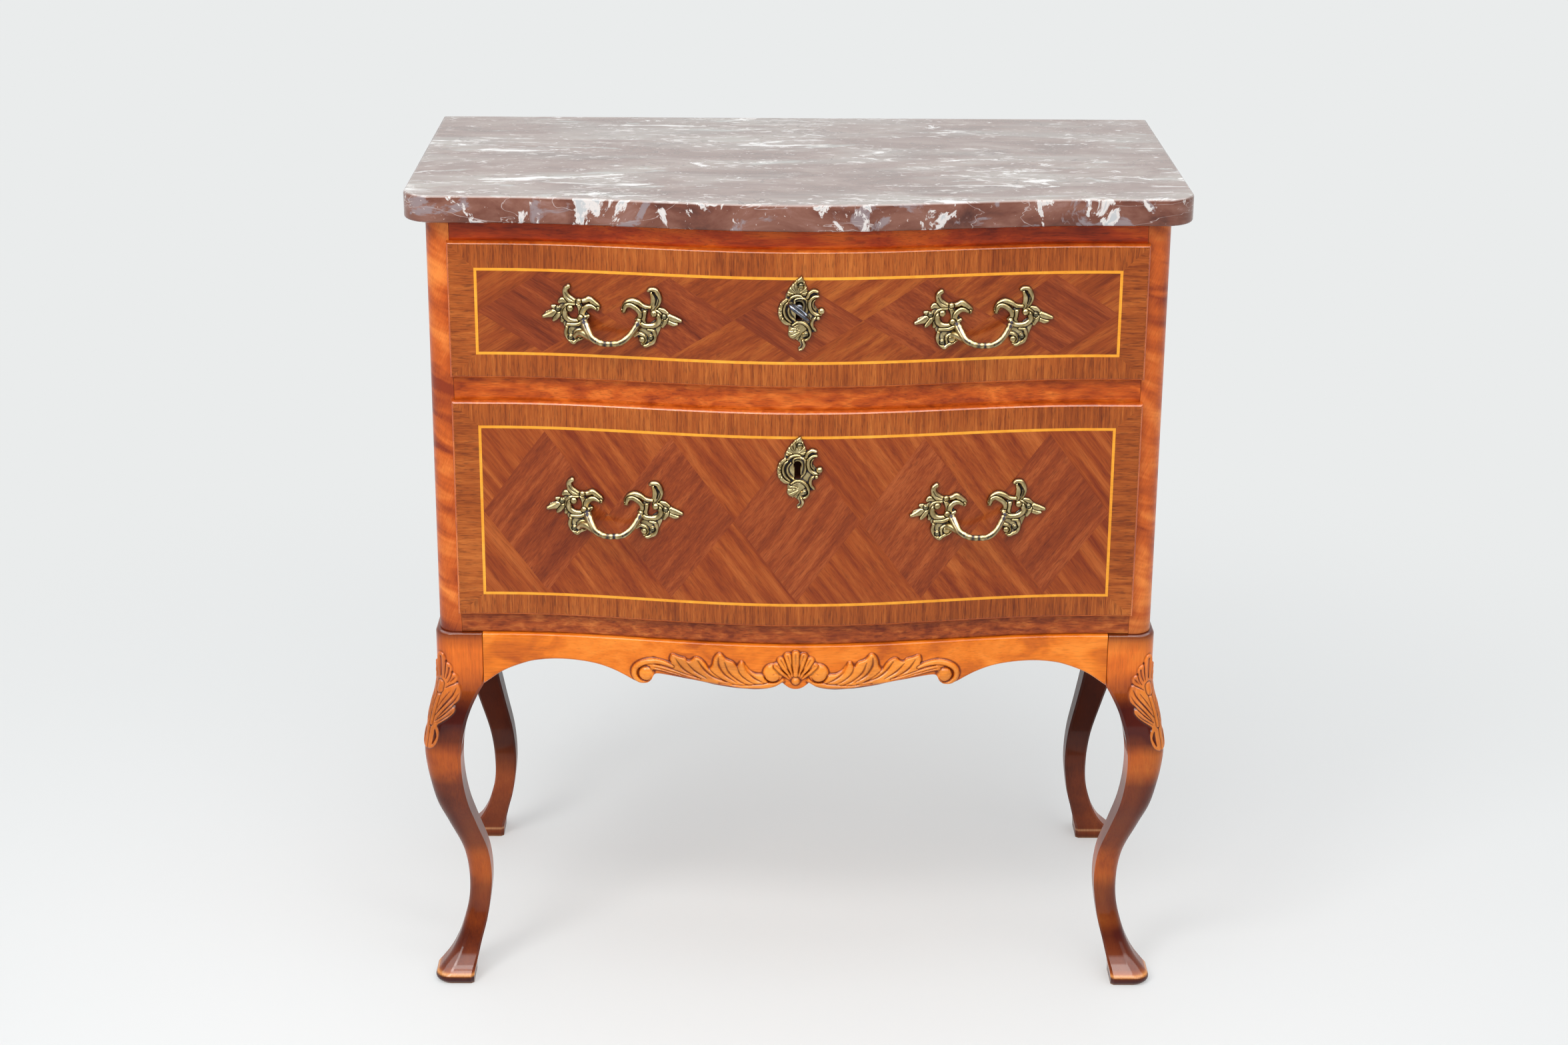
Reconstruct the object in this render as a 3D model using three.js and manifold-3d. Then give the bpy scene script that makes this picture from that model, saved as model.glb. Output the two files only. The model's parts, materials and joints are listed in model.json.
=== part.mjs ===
// A commode chest in the rococo manner: a marble slab on a bowed case with two lockable drawers,
// carried by a leg frame with cabriole legs and a carved front apron.
// Millimetres, +Z up. The drawers face -Y, and the floor is at Z = 0.
import * as THREE from "three";
import { mergeVertices } from "three/addons/utils/BufferGeometryUtils.js";
import Module from "manifold-3d";

const wasm = await Module();
wasm.setup();

// Fits
const jointGap = 0.3; // left between pieces that are glued together or rest on each other
const fittingGap = 0.6; // behind flat metalwork on the bowed drawer fronts
const keyClearance = 0.8; // between the key and a keyhole
const pinClearance = 0.4; // round a pin in its hole
const cutOverrun = 2; // how far a cutting solid runs past the face that it opens
const joinSink = 1; // how far joined shapes of one piece run into each other

// Marble slab
const slabThickness = 26;
const slabOverhang = 19; // past the case, in front and at both sides
const slabBackOverhang = 4;
const slabCornerRadius = 30;
const slabEdgeRound = 2.5;

// Bow of the front: the same curve in plan for the slab, the rails, the drawers and the apron
const bowDepth = 31;
const bowEndInset = 61; // from the case's side to where the bow starts
const bowSteps = 24;

// Case
const caseWidth = 712;
const caseDepth = 361;
const bottomRailHeight = 23.4;
const lowerOpeningHeight = 216;
const middleRailHeight = 28.5;
const upperOpeningHeight = 129.5;
const topRailHeight = 23;
const frontFrameDepth = 30; // posts and rails, front to back
const postWidth = 23.6;
const postRound = 18;
const sideThickness = 18;
const backThickness = 6;
const backRabbet = 9;
const boardThickness = 12;
const backRailDepth = 50;
const backRailHeight = 20;
const runnerWidth = 28;
const runnerThickness = 20;
const guideHeight = 20;

// Leg frame
const legHeight = 388.6;
const legBlock = 47.7; // side of the square block at a leg's top
const frameReveal = 4; // how far the leg frame stands out from the case
const apronThickness = 22;
const apronDrop = 55;
const glueBlockLength = 70;
const glueBlockSide = 22;

// Drawers
const lipThickness = 8;
const lipLap = 2.3; // how far a drawer front laps the rails and posts
const lipRound = 3;
const frontBodyThickness = 12;
const drawerClearance = 1.2; // around a drawer box in its opening
const topClearance = 5;
const drawerSideThickness = 12;
const drawerBackThickness = 10;
const drawerBottomThickness = 4;
const grooveDepth = 5;
const grooveHeight = 9; // from a drawer side's lower edge to its groove
const drawerBackClearance = 10;

// Locks and key
const lockBackset = 48.4; // from a drawer front's top edge down to the key's axis
const lockWidth = 56;
const lockWall = 2;
const drillPinRadius = 1.2;
const boltThickness = 2.6;
const boltWidth = 26;
const boltWall = 1.5; // bolt plate below its slot for the drill pin
const boltFootClearance = 4.6; // below a dropped bolt in its lock case
const boltHeadWidth = 16;
const boltHeadThickness = 4;
const boltThrow = 8;
const boltRun = 1.2; // play between a bolt and what it slides past
const talonReach = 9;
const talonHeight = 4;
const mortiseClearance = 2;
const keyShaftRadius = 2.9;
const bitReach = 8; // from the key's axis
const bitLength = 3.6; // along the key
const bitThickness = 3.6;
const bitEndClearance = 5.8; // the keyholes would take a longer bit
const keyNeck = 14; // from the drawer's face to the key's bow
const keyBowWidth = 27;
const keyBowLength = 20;
const keyBowThickness = 4;
const keyBowBar = 4.5;
const keyRestAngle = 37.6; // degrees below level, as the key was left

// Handles and escutcheons
const handleWidth = 132;
const handlePlateThickness = 3.6;
const handlePlateHeight = 58;
const bailRadius = 2.9;
const bailReach = 24.5; // from the drawer's face to the bail's centre line
const handleSpacing = 354; // between the centres of a drawer's two handles
const handleNailRadius = 2.4;
const upperHandleHeight = 63; // from the opening's lower edge to the plates' outer tips
const lowerHandleHeight = 114;
const escutcheonWidth = 44.3;
const escutcheonHeight = 71.7;
const escutcheonThickness = 2.6;
const pinHeadRadius = 2.3;
const pinRadius = 0.8;
const pinLength = 9;

// Steps of round shapes
const roundSteps = 6;
const edgeSteps = 2;
const tubeSides = 8;
const bossSides = 10;
const bossRings = 8;
const shaftSides = 16;

// Levels and faces that follow from the sizes above. Y = 0 is the slab's back edge.
const lowerOpeningZ = legHeight + bottomRailHeight;
const middleRailZ = lowerOpeningZ + lowerOpeningHeight;
const upperOpeningZ = middleRailZ + middleRailHeight;
const topRailZ = upperOpeningZ + upperOpeningHeight;
const slabZ = topRailZ + topRailHeight;
const caseHalf = caseWidth / 2;
const bowHalfWidth = caseHalf - bowEndInset;
const caseBackY = -slabBackOverhang;
const caseFrontY = caseBackY - caseDepth;
const caseTopZ = slabZ - jointGap;
const frameHalf = caseHalf + frameReveal;
const frameFrontY = caseFrontY - frameReveal;
const frameBackY = caseBackY + frameReveal;
const frameTopZ = legHeight - jointGap;
const openingHalf = caseHalf - postWidth;
const sideInnerX = caseHalf - sideThickness;
const frontFrameBackY = caseFrontY + frontFrameDepth;
const backPanelFrontY = caseBackY - backThickness;
const lipBackY = caseFrontY - jointGap;
const lipFrontY = lipBackY - lipThickness;
const frontInnerY = lipBackY + frontBodyThickness;
const faceCentreY = lipFrontY - bowDepth;
const boxOuterHalf = openingHalf - drawerClearance;
const boxInnerHalf = boxOuterHalf - drawerSideThickness;
const boxFrontY = frontInnerY + jointGap;
const boxBackY = backPanelFrontY - drawerBackClearance;

// Locks, with their faces behind the middle of a drawer's bowed face
const keyholeRadius = keyShaftRadius + keyClearance;
const keyholeSlotHalf = bitThickness / 2 + keyClearance;
const keyholeSlotDrop = bitReach + bitEndClearance; // from the key's axis
const keyBoreRadius = drillPinRadius + pinClearance;
const pinHoleRadius = pinRadius + pinClearance;
const pinSlotHalf = drillPinRadius + jointGap;
const boltTail = boltThrow + pinSlotHalf + boltWall; // bolt plate below the key's axis
const lockHeight = lockBackset + boltTail + boltFootClearance + lockWall;
const lockDepth = lockWall + boltThickness + bitLength + 2 * jointGap + boltRun;
const mortiseDepth = boltThrow + mortiseClearance;
const lockBackY = faceCentreY + lipThickness + frontBodyThickness;
const lockFrontY = lockBackY - lockDepth;
const boltFrontY = lockBackY - lockWall - jointGap - boltThickness;
const boltBackY = boltFrontY + boltThickness;
const bitBackY = boltFrontY - jointGap;

// Outlines as shares of the sizes that they follow

// Leg profile from floor to top: height as a share of legHeight, then how far the outer faces stand
// out from the block and how far the inner faces lie from the block's outer face, of legBlock.
const legProfileShares = [
  [0, 0.17, 0.608],
  [0.008, 0.225, 0.608],
  [0.02, 0.235, 0.612],
  [0.034, 0.14, 0.625],
  [0.059, -0.035, 0.677],
  [0.097, -0.214, 0.75],
  [0.153, -0.375, 0.87],
  [0.2, -0.465, 0.935],
  [0.269, -0.493, 0.99],
  [0.35, -0.413, 0.945],
  [0.45, -0.13, 0.735],
  [0.52, 0.08, 0.59],
  [0.58, 0.185, 0.515],
  [0.63, 0.25, 0.49],
  [0.682, 0.283, 0.505],
  [0.74, 0.22, 0.59],
  [0.8, 0.113, 0.755],
  [0.835, 0.03, 0.9],
  [0.857, 0, 1],
  [1, 0, 1],
];
const legOuterRoundShare = 0.4; // of a section's width
const legInnerRoundShare = 0.08;

// Lower edge of the aprons from the middle outwards: place of the half length, then drop of apronDrop
const frontApronEdgeShares = [
  [0, 0.85],
  [0.022, 0.825],
  [0.04, 0.735],
  [0.062, 0.79],
  [0.1, 0.855],
  [0.148, 0.863],
  [0.215, 0.835],
  [0.32, 0.738],
  [0.4, 0.68],
  [0.445, 0.66],
  [0.465, 0.79],
  [0.485, 0.855],
  [0.508, 0.84],
  [0.545, 0.725],
  [0.61, 0.568],
  [0.69, 0.498],
  [0.766, 0.482],
  [0.861, 0.565],
  [0.935, 0.733],
  [1, 0.995],
];
const sideApronEdgeShares = [
  [0, 0.78],
  [0.25, 0.7],
  [0.5, 0.52],
  [0.7, 0.49],
  [0.86, 0.62],
  [1, 0.995],
];
const backApronEdgeShares = [
  [0, 0.7],
  [1, 0.7],
];
const apronSteps = 38; // between the middle and one end

// Raised carving on the front apron: place of the half length, height of apronDrop, then half sizes
// of apronDrop along the apron, outwards and up.
const apronBossShares = [
  [0, 0.46, 0.4, 0.13, 0.38],
  [0.07, 0.515, 0.18, 0.14, 0.18],
  [-0.07, 0.515, 0.18, 0.14, 0.18],
  [0.2, 0.57, 0.55, 0.1, 0.24],
  [-0.2, 0.57, 0.55, 0.1, 0.24],
  [0.335, 0.52, 0.45, 0.09, 0.2],
  [-0.335, 0.52, 0.45, 0.09, 0.2],
  [0.478, 0.7, 0.165, 0.12, 0.14],
  [-0.478, 0.7, 0.165, 0.12, 0.14],
];

// Handle plates seen from the front: across as shares of handleWidth from the middle, up as shares of
// handlePlateHeight from the outer tips.
const leftPlateShares = [
  [-0.5, 0],
  [-0.46, 0.06],
  [-0.4, 0.25],
  [-0.36, 0.34],
  [-0.355, 0.5],
  [-0.32, 0.56],
  [-0.3, 0.42],
  [-0.25, 0.32],
  [-0.16, 0.31],
  [-0.1, 0.2],
  [-0.13, 0.13],
  [-0.17, 0.16],
  [-0.165, -0.04],
  [-0.17, -0.2],
  [-0.22, -0.3],
  [-0.27, -0.42],
  [-0.325, -0.31],
  [-0.33, -0.15],
  [-0.43, -0.06],
];
const rightPlateShares = [
  [0.5, -0.02],
  [0.44, 0.06],
  [0.36, 0.18],
  [0.36, 0.38],
  [0.31, 0.5],
  [0.23, 0.47],
  [0.29, 0.36],
  [0.27, 0.25],
  [0.19, 0.29],
  [0.12, 0.28],
  [0.06, 0.15],
  [0.1, 0.12],
  [0.17, 0.16],
  [0.165, -0.04],
  [0.17, -0.2],
  [0.22, -0.28],
  [0.25, -0.46],
  [0.31, -0.36],
  [0.31, -0.2],
  [0.43, -0.08],
];

// Bail: across of handleWidth, up of handlePlateHeight, outwards of bailReach
const bailShares = [
  [-0.2, -0.02, 0.08],
  [-0.185, -0.13, 0.38],
  [-0.145, -0.24, 0.7],
  [-0.08, -0.31, 0.92],
  [0, -0.335, 1],
  [0.08, -0.31, 0.92],
  [0.145, -0.24, 0.7],
  [0.185, -0.13, 0.38],
  [0.2, -0.02, 0.08],
];
const bailSteps = 18;
const handleNailShares = [
  [-0.385, 0.155],
  [-0.283, -0.2],
  [0.372, 0.01],
  [0.27, -0.32],
];

// Escutcheon seen from the front: across of escutcheonWidth and up of escutcheonHeight, from the
// keyhole's centre.
const escutcheonShares = [
  [0.06, 0.393],
  [0.16, 0.275],
  [0.192, 0.2],
  [0.388, 0.21],
  [0.426, 0.119],
  [0.345, 0.086],
  [0.332, 0.012],
  [0.402, -0.044],
  [0.492, -0.036],
  [0.542, -0.078],
  [0.492, -0.131],
  [0.433, -0.188],
  [0.339, -0.218],
  [0.325, -0.283],
  [0.388, -0.34],
  [0.237, -0.357],
  [0.223, -0.423],
  [0.147, -0.471],
  [0.115, -0.537],
  [0.056, -0.602],
  [-0.014, -0.607],
  [0.045, -0.537],
  [0.025, -0.497],
  [-0.172, -0.406],
  [-0.223, -0.349],
  [-0.21, -0.266],
  [-0.311, -0.243],
  [-0.402, -0.176],
  [-0.458, -0.07],
  [-0.427, 0.012],
  [-0.287, 0.095],
  [-0.28, 0.169],
  [-0.147, 0.258],
];
const escutcheonPinShares = [
  [0.04, 0.262],
  [0.113, -0.39],
];

const marble = finish("marble", 0x8d7a73, 0.18, 0);
const birch = finish("birch", 0xc87534, 0.3, 0);
const railWood = finish("rail_wood", 0xa65320, 0.3, 0);
const veneer = finish("veneer", 0x86401f, 0.3, 0);
const innerWood = finish("inner_wood", 0xcfae7c, 0.7, 0);
const brass = finish("brass", 0xa8925a, 0.35, 1);
const steel = finish("steel", 0x6f7276, 0.3, 1);

function finish(name, color, roughness, metalness) {
  return new THREE.MeshStandardMaterial({ name, color, roughness, metalness });
}

// Geometry helpers

function boxBetween([x0, x1], [y0, y1], [z0, z1]) {
  const box = new THREE.BoxGeometry(x1 - x0, y1 - y0, z1 - z0);
  return box.translate((x0 + x1) / 2, (y0 + y1) / 2, (z0 + z1) / 2);
}

function shapeOf(points) {
  return new THREE.Shape(points.map(([x, y]) => new THREE.Vector2(x, y)));
}

// A plan outline carried up by a height from Z = 0.
function upright(shape, height, steps = roundSteps) {
  const settings = { depth: height, bevelEnabled: false, curveSegments: steps };
  return new THREE.ExtrudeGeometry(shape, settings);
}

// A front view outline, X across and Z up, carried from Y = 0 towards the front by a thickness.
function facing(shape, thickness) {
  return upright(shape, thickness).rotateX(Math.PI / 2);
}

// A round bar along Y.
function roundBar(radius, [y0, y1], sides) {
  return new THREE.CylinderGeometry(radius, radius, y1 - y0, sides).translate(0, (y0 + y1) / 2, 0);
}

// A closed body through rings of equally many points, with a flat cap at each end.
function loft(rings) {
  const count = rings[0].length;
  const index = [];
  for (let ring = 0; ring + 1 < rings.length; ring++) {
    for (let side = 0; side < count; side++) {
      const here = ring * count + side;
      const beside = ring * count + ((side + 1) % count);
      index.push(here, beside, beside + count, here, beside + count, here + count);
    }
  }
  const last = (rings.length - 1) * count;
  for (let side = 1; side + 1 < count; side++) {
    index.push(0, side + 1, side);
    index.push(last, last + side, last + side + 1);
  }
  const positions = new Float32Array(rings.flat(2));
  const body = new THREE.BufferGeometry();
  body.setAttribute("position", new THREE.BufferAttribute(positions, 3));
  body.setIndex(index);
  return facingOut(body);
}

// Turns every face round if the body is inside out.
function facingOut(body) {
  const place = body.getAttribute("position");
  const index = body.getIndex().array;
  const [a, b, c] = [new THREE.Vector3(), new THREE.Vector3(), new THREE.Vector3()];
  let volume = 0;
  for (let face = 0; face < index.length; face += 3) {
    a.fromBufferAttribute(place, index[face]);
    b.fromBufferAttribute(place, index[face + 1]);
    c.fromBufferAttribute(place, index[face + 2]);
    volume += a.dot(b.cross(c));
  }
  if (volume < 0) {
    body.setIndex(Array.from(index).reverse());
  }
  return body;
}

function toSolid(geometry) {
  const bare = geometry.index ? geometry.toNonIndexed() : geometry.clone();
  bare.deleteAttribute("normal");
  bare.deleteAttribute("uv");
  const merged = mergeVertices(bare);
  const triVerts = new Uint32Array(merged.index.array);
  const vertProperties = merged.attributes.position.array;
  return new wasm.Manifold(new wasm.Mesh({ numProp: 3, vertProperties, triVerts }));
}

function fromSolid(solid) {
  const { vertProperties, triVerts } = solid.getMesh();
  const body = new THREE.BufferGeometry();
  body.setAttribute("position", new THREE.BufferAttribute(vertProperties, 3));
  return body.setIndex(new THREE.BufferAttribute(triVerts, 1));
}

// One body of several overlapping ones, less the cuts.
function joined(parts, cuts = []) {
  let solid = toSolid(parts[0]);
  for (const part of parts.slice(1)) {
    solid = solid.add(toSolid(part));
  }
  for (const cut of cuts) {
    solid = solid.subtract(toSolid(cut));
  }
  return fromSolid(solid);
}

function add(group, name, geometry, material) {
  geometry.computeVertexNormals();
  const mesh = new THREE.Mesh(geometry, material);
  mesh.name = name;
  group.add(mesh);
  return mesh;
}

// The geometry as the right-hand piece, and its mirror image on the left.
function addPair(group, name, geometry, material) {
  add(group, "right_" + name, geometry, material);
  add(group, "left_" + name, geometry, material).scale.x = -1;
}

function degrees(angle) {
  return THREE.MathUtils.degToRad(angle);
}

// Bow

function bowAt(x) {
  const share = Math.min(Math.abs(x) / bowHalfWidth, 1);
  return (bowDepth * (1 + Math.cos(Math.PI * share))) / 2;
}

// Places across the chest, from -halfWidth to halfWidth, where a bowed piece has a section.
function bowStations(halfWidth) {
  const reach = Math.min(bowHalfWidth, halfWidth);
  const places = [];
  for (let step = 0; step <= bowSteps; step++) {
    places.push(reach * ((2 * step) / bowSteps - 1));
  }
  return halfWidth > reach ? [-halfWidth, ...places, halfWidth] : places;
}

// A body through one Y-Z section, moved forwards by the bow at each station.
// Each corner is [y, z, follow], and follow is 0 where the corner stays back.
function bowedBody(halfWidth, corners) {
  const ringAt = (x) => corners.map(([y, z, follow = 1]) => [x, y - follow * bowAt(x), z]);
  return loft(bowStations(halfWidth).map(ringAt));
}

// Moves each point forwards with the bow, for a piece on the front whose middle is at centreX.
function followBow(geometry, centreX) {
  const place = geometry.getAttribute("position");
  for (let point = 0; point < place.count; point++) {
    place.setY(point, place.getY(point) - bowAt(centreX + place.getX(point)));
  }
  return geometry;
}

// Slab

function makeSlab(group) {
  const half = caseHalf + slabOverhang;
  const frontY = caseFrontY - slabOverhang;
  const cornerX = half - slabCornerRadius;
  const cornerY = frontY + slabCornerRadius;
  const shape = new THREE.Shape();
  shape.moveTo(half, 0);
  shape.lineTo(-half, 0);
  shape.absarc(-cornerX, cornerY, slabCornerRadius, Math.PI, 1.5 * Math.PI);
  for (const x of bowStations(bowHalfWidth)) {
    shape.lineTo(x, frontY - bowAt(x));
  }
  shape.absarc(cornerX, cornerY, slabCornerRadius, 1.5 * Math.PI, 2 * Math.PI);
  shape.closePath();
  const slab = new THREE.ExtrudeGeometry(shape, {
    depth: slabThickness - 2 * slabEdgeRound,
    bevelThickness: slabEdgeRound,
    bevelSize: slabEdgeRound,
    bevelOffset: -slabEdgeRound,
    bevelSegments: edgeSteps,
    curveSegments: roundSteps,
  });
  add(group, "marble_top", slab, marble).position.z = slabZ + slabEdgeRound;
}

// Case

function makeCase(group) {
  const caseHeight = caseTopZ - legHeight;

  const post = new THREE.Shape();
  post.moveTo(openingHalf, frontFrameBackY);
  post.lineTo(openingHalf, caseFrontY);
  post.absarc(caseHalf - postRound, caseFrontY + postRound, postRound, 1.5 * Math.PI, 2 * Math.PI);
  post.lineTo(caseHalf, frontFrameBackY);
  addPair(group, "front_post", upright(post, caseHeight).translate(0, 0, legHeight), birch);

  const rabbetX = sideInnerX + backRabbet;
  const rabbetY = backPanelFrontY - jointGap;
  const side = shapeOf([
    [sideInnerX, frontFrameBackY + jointGap],
    [caseHalf, frontFrameBackY + jointGap],
    [caseHalf, caseBackY],
    [rabbetX, caseBackY],
    [rabbetX, rabbetY],
    [sideInnerX, rabbetY],
  ]);
  addPair(group, "side_panel", upright(side, caseHeight).translate(0, 0, legHeight), birch);

  const backHalf = rabbetX - jointGap;
  const backY = [backPanelFrontY, caseBackY];
  const back = boxBetween([-backHalf, backHalf], backY, [legHeight, caseTopZ]);
  add(group, "back_panel", back, innerWood);

  const innerHalf = sideInnerX - jointGap;
  const across = [-innerHalf, innerHalf];
  const innerBackY = backPanelFrontY - jointGap;
  const innerFrontY = frontFrameBackY + jointGap;
  const boardTopZ = legHeight + boardThickness;
  const board = boxBetween(across, [innerFrontY, innerBackY], [legHeight, boardTopZ]);
  add(group, "bottom_board", board, innerWood);

  const backRailFrontY = innerBackY - backRailDepth;
  const backRailZ = [caseTopZ - backRailHeight, caseTopZ];
  const backRail = boxBetween(across, [backRailFrontY, innerBackY], backRailZ);
  add(group, "top_back_rail", backRail, innerWood);

  const kicker = boxBetween(
    [innerHalf - runnerWidth, innerHalf],
    [innerFrontY, backRailFrontY - jointGap],
    [topRailZ, caseTopZ],
  );
  addPair(group, "kicker", kicker, innerWood);

  makeRail(group, "bottom_rail", legHeight, lowerOpeningZ, false);
  makeRail(group, "middle_rail", middleRailZ, upperOpeningZ, true);
  makeRail(group, "top_rail", topRailZ, caseTopZ, true);

  makeRunners(group, "lower_runner", boardTopZ + jointGap, lowerOpeningZ);
  makeRunners(group, "upper_runner", upperOpeningZ - runnerThickness, upperOpeningZ);
}

// A bowed rail between the posts, with a mortise in its underside for the bolt of the lock below it.
function makeRail(group, name, lowZ, highZ, hasMortise) {
  const rail = bowedBody(openingHalf - jointGap, [
    [caseFrontY, lowZ],
    [caseFrontY, highZ],
    [frontFrameBackY, highZ, 0],
    [frontFrameBackY, lowZ, 0],
  ]);
  const mortiseHalf = boltHeadWidth / 2 + boltRun;
  const mortise = boxBetween(
    [-mortiseHalf, mortiseHalf],
    [boltBackY - boltHeadThickness - boltRun, boltBackY + boltRun],
    [lowZ - cutOverrun, lowZ + mortiseDepth],
  );
  add(group, name, hasMortise ? joined([rail], [mortise]) : rail, railWood);
}

// Runners with a guide strip at each side of a drawer opening.
function makeRunners(group, name, lowZ, highZ) {
  const outerX = sideInnerX - jointGap;
  const section = shapeOf([
    [outerX - runnerWidth, lowZ],
    [outerX, lowZ],
    [outerX, highZ + guideHeight],
    [openingHalf, highZ + guideHeight],
    [openingHalf, highZ],
    [outerX - runnerWidth, highZ],
  ]);
  const frontY = frontFrameBackY + jointGap;
  const backY = backPanelFrontY - jointGap;
  addPair(group, name, facing(section, backY - frontY).translate(0, backY, 0), innerWood);
}

// Leg frame

// A leg for the back right corner, with its block's outer faces at X = 0 and Y = 0.
function legGeometry() {
  const rings = legProfileShares.map(([heightShare, outerShare, innerShare]) => {
    const z = heightShare * frameTopZ;
    const outer = outerShare * legBlock;
    const inner = -innerShare * legBlock;
    const outerRound = (outer - inner) * legOuterRoundShare;
    const innerRound = (outer - inner) * legInnerRoundShare;
    const ring = [
      [inner, inner + innerRound, z],
      [inner + innerRound, inner, z],
      [outer - innerRound, inner, z],
      [outer, inner + innerRound, z],
    ];
    const centre = outer - outerRound;
    for (let step = 0; step <= roundSteps; step++) {
      const angle = ((Math.PI / 2) * step) / roundSteps;
      ring.push([centre + outerRound * Math.cos(angle), centre + outerRound * Math.sin(angle), z]);
    }
    ring.push([inner + innerRound, outer, z], [inner, outer - innerRound, z]);
    return ring;
  });
  return loft(rings);
}

function splineThrough(shares, halfLength) {
  const pointAt = ([place, drop]) => new THREE.Vector2(place * halfLength, drop * apronDrop);
  const half = new THREE.SplineCurve(shares.map(pointAt)).getPoints(apronSteps);
  const mirrored = half.slice(1).reverse().map(({ x, y }) => ({ x: -x, y }));
  return [...mirrored, ...half];
}

// An apron along X with its outer face at Y = 0, facing -Y, and its top at the leg frame's top.
function apronGeometry(length, edgeShares, bow) {
  const rings = splineThrough(edgeShares, length / 2).map(({ x, y: drop }) => {
    const faceY = -bow(x);
    return [
      [x, faceY, frameTopZ],
      [x, faceY, frameTopZ - drop],
      [x, faceY + apronThickness, frameTopZ - drop],
      [x, faceY + apronThickness, frameTopZ],
    ];
  });
  return loft(rings);
}

function carvedApron(length) {
  const bosses = apronBossShares.map(([place, rise, across, out, up]) => {
    const x = (place * length) / 2;
    const boss = new THREE.SphereGeometry(1, bossSides, bossRings);
    boss.scale(across * apronDrop, out * apronDrop, up * apronDrop);
    return boss.translate(x, -bowAt(x), frameTopZ - rise * apronDrop);
  });
  return joined([apronGeometry(length, frontApronEdgeShares, bowAt), ...bosses]);
}

function makeLegFrame(group) {
  const leg = legGeometry();
  const corners = [
    ["back_right_leg", frameHalf, frameBackY, 0],
    ["back_left_leg", -frameHalf, frameBackY, 1],
    ["front_left_leg", -frameHalf, frameFrontY, 2],
    ["front_right_leg", frameHalf, frameFrontY, 3],
  ];
  for (const [name, x, y, quarterTurns] of corners) {
    const mesh = add(group, name, leg, birch);
    mesh.position.set(x, y, 0);
    mesh.rotation.z = (quarterTurns * Math.PI) / 2;
  }

  const straight = () => 0;
  const frontLength = 2 * (frameHalf - legBlock - jointGap);
  const sideLength = frameBackY - frameFrontY - 2 * (legBlock + jointGap);
  const middleY = (frameBackY + frameFrontY) / 2;
  const backApron = apronGeometry(frontLength, backApronEdgeShares, straight);
  const sideApron = apronGeometry(sideLength, sideApronEdgeShares, straight);
  add(group, "front_apron", carvedApron(frontLength), birch).position.y = frameFrontY;
  const back = add(group, "back_apron", backApron, birch);
  back.position.y = frameBackY;
  back.rotation.z = Math.PI;
  for (const [name, side] of [["right_apron", 1], ["left_apron", -1]]) {
    const mesh = add(group, name, sideApron, birch);
    mesh.position.set(side * frameHalf, middleY, 0);
    mesh.rotation.z = (side * Math.PI) / 2;
  }

  const blockX = frontLength / 2 - jointGap;
  const blockZ = [frameTopZ - glueBlockSide, frameTopZ];
  const frontBlockY = frameFrontY + apronThickness + jointGap;
  const backBlockY = frameBackY - apronThickness - jointGap;
  const blockAcross = [blockX - glueBlockLength, blockX];
  const frontBlock = boxBetween(blockAcross, [frontBlockY, frontBlockY + glueBlockSide], blockZ);
  const backBlock = boxBetween(blockAcross, [backBlockY - glueBlockSide, backBlockY], blockZ);
  addPair(group, "front_glue_block", frontBlock, innerWood);
  addPair(group, "back_glue_block", backBlock, innerWood);
}

// Locks and key, in a drawer's own frame, with Z = 0 at the lower edge of its opening

function makeLock(group, level) {
  const topZ = level.height - drawerClearance;
  const keyZ = topZ - lockBackset;
  const half = lockWidth / 2;
  const bottomZ = topZ - lockHeight;
  const shell = boxBetween([-half, half], [lockFrontY, lockBackY], [bottomZ, topZ]);
  const cavity = boxBetween(
    [-half + lockWall, half - lockWall],
    [lockFrontY - cutOverrun, lockBackY - lockWall],
    [bottomZ + lockWall, topZ - lockWall],
  );
  const slotHalf = boltHeadWidth / 2 + jointGap;
  const slot = boxBetween(
    [-slotHalf, slotHalf],
    [boltBackY - boltHeadThickness - jointGap, lockBackY - lockWall],
    [topZ - lockWall - cutOverrun, topZ + cutOverrun],
  );
  const pin = roundBar(drillPinRadius, [lockFrontY + joinSink, lockBackY - joinSink], tubeSides);
  const hollow = joined([shell], [cavity, slot]);
  add(group, level.name + "_lock_case", joined([hollow, pin.translate(0, 0, keyZ)]), steel);
  makeBolt(group, level, keyZ, topZ);
}

// A bolt plate with its head below the lock's top, and a talon that the key's bit lifts.
function makeBolt(group, level, keyZ, topZ) {
  const plateTopZ = topZ - lockWall - boltThrow - boltRun;
  const plate = boxBetween(
    [-boltWidth / 2, boltWidth / 2],
    [boltFrontY, boltBackY],
    [keyZ - boltTail, plateTopZ],
  );
  const head = boxBetween(
    [-boltHeadWidth / 2, boltHeadWidth / 2],
    [boltBackY - boltHeadThickness, boltBackY],
    [plateTopZ - joinSink, topZ - jointGap],
  );
  const talon = boxBetween(
    [keyShaftRadius + boltRun, talonReach],
    [bitBackY - bitLength, boltFrontY + joinSink],
    [keyZ - jointGap, keyZ - jointGap + talonHeight],
  );
  const pinSlot = boxBetween(
    [-pinSlotHalf, pinSlotHalf],
    [boltFrontY - cutOverrun, boltBackY + cutOverrun],
    [keyZ - pinSlotHalf - boltThrow, keyZ + pinSlotHalf],
  );
  add(group, level.name + "_lock_bolt", joined([plate, head, talon], [pinSlot]), steel);
}

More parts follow.
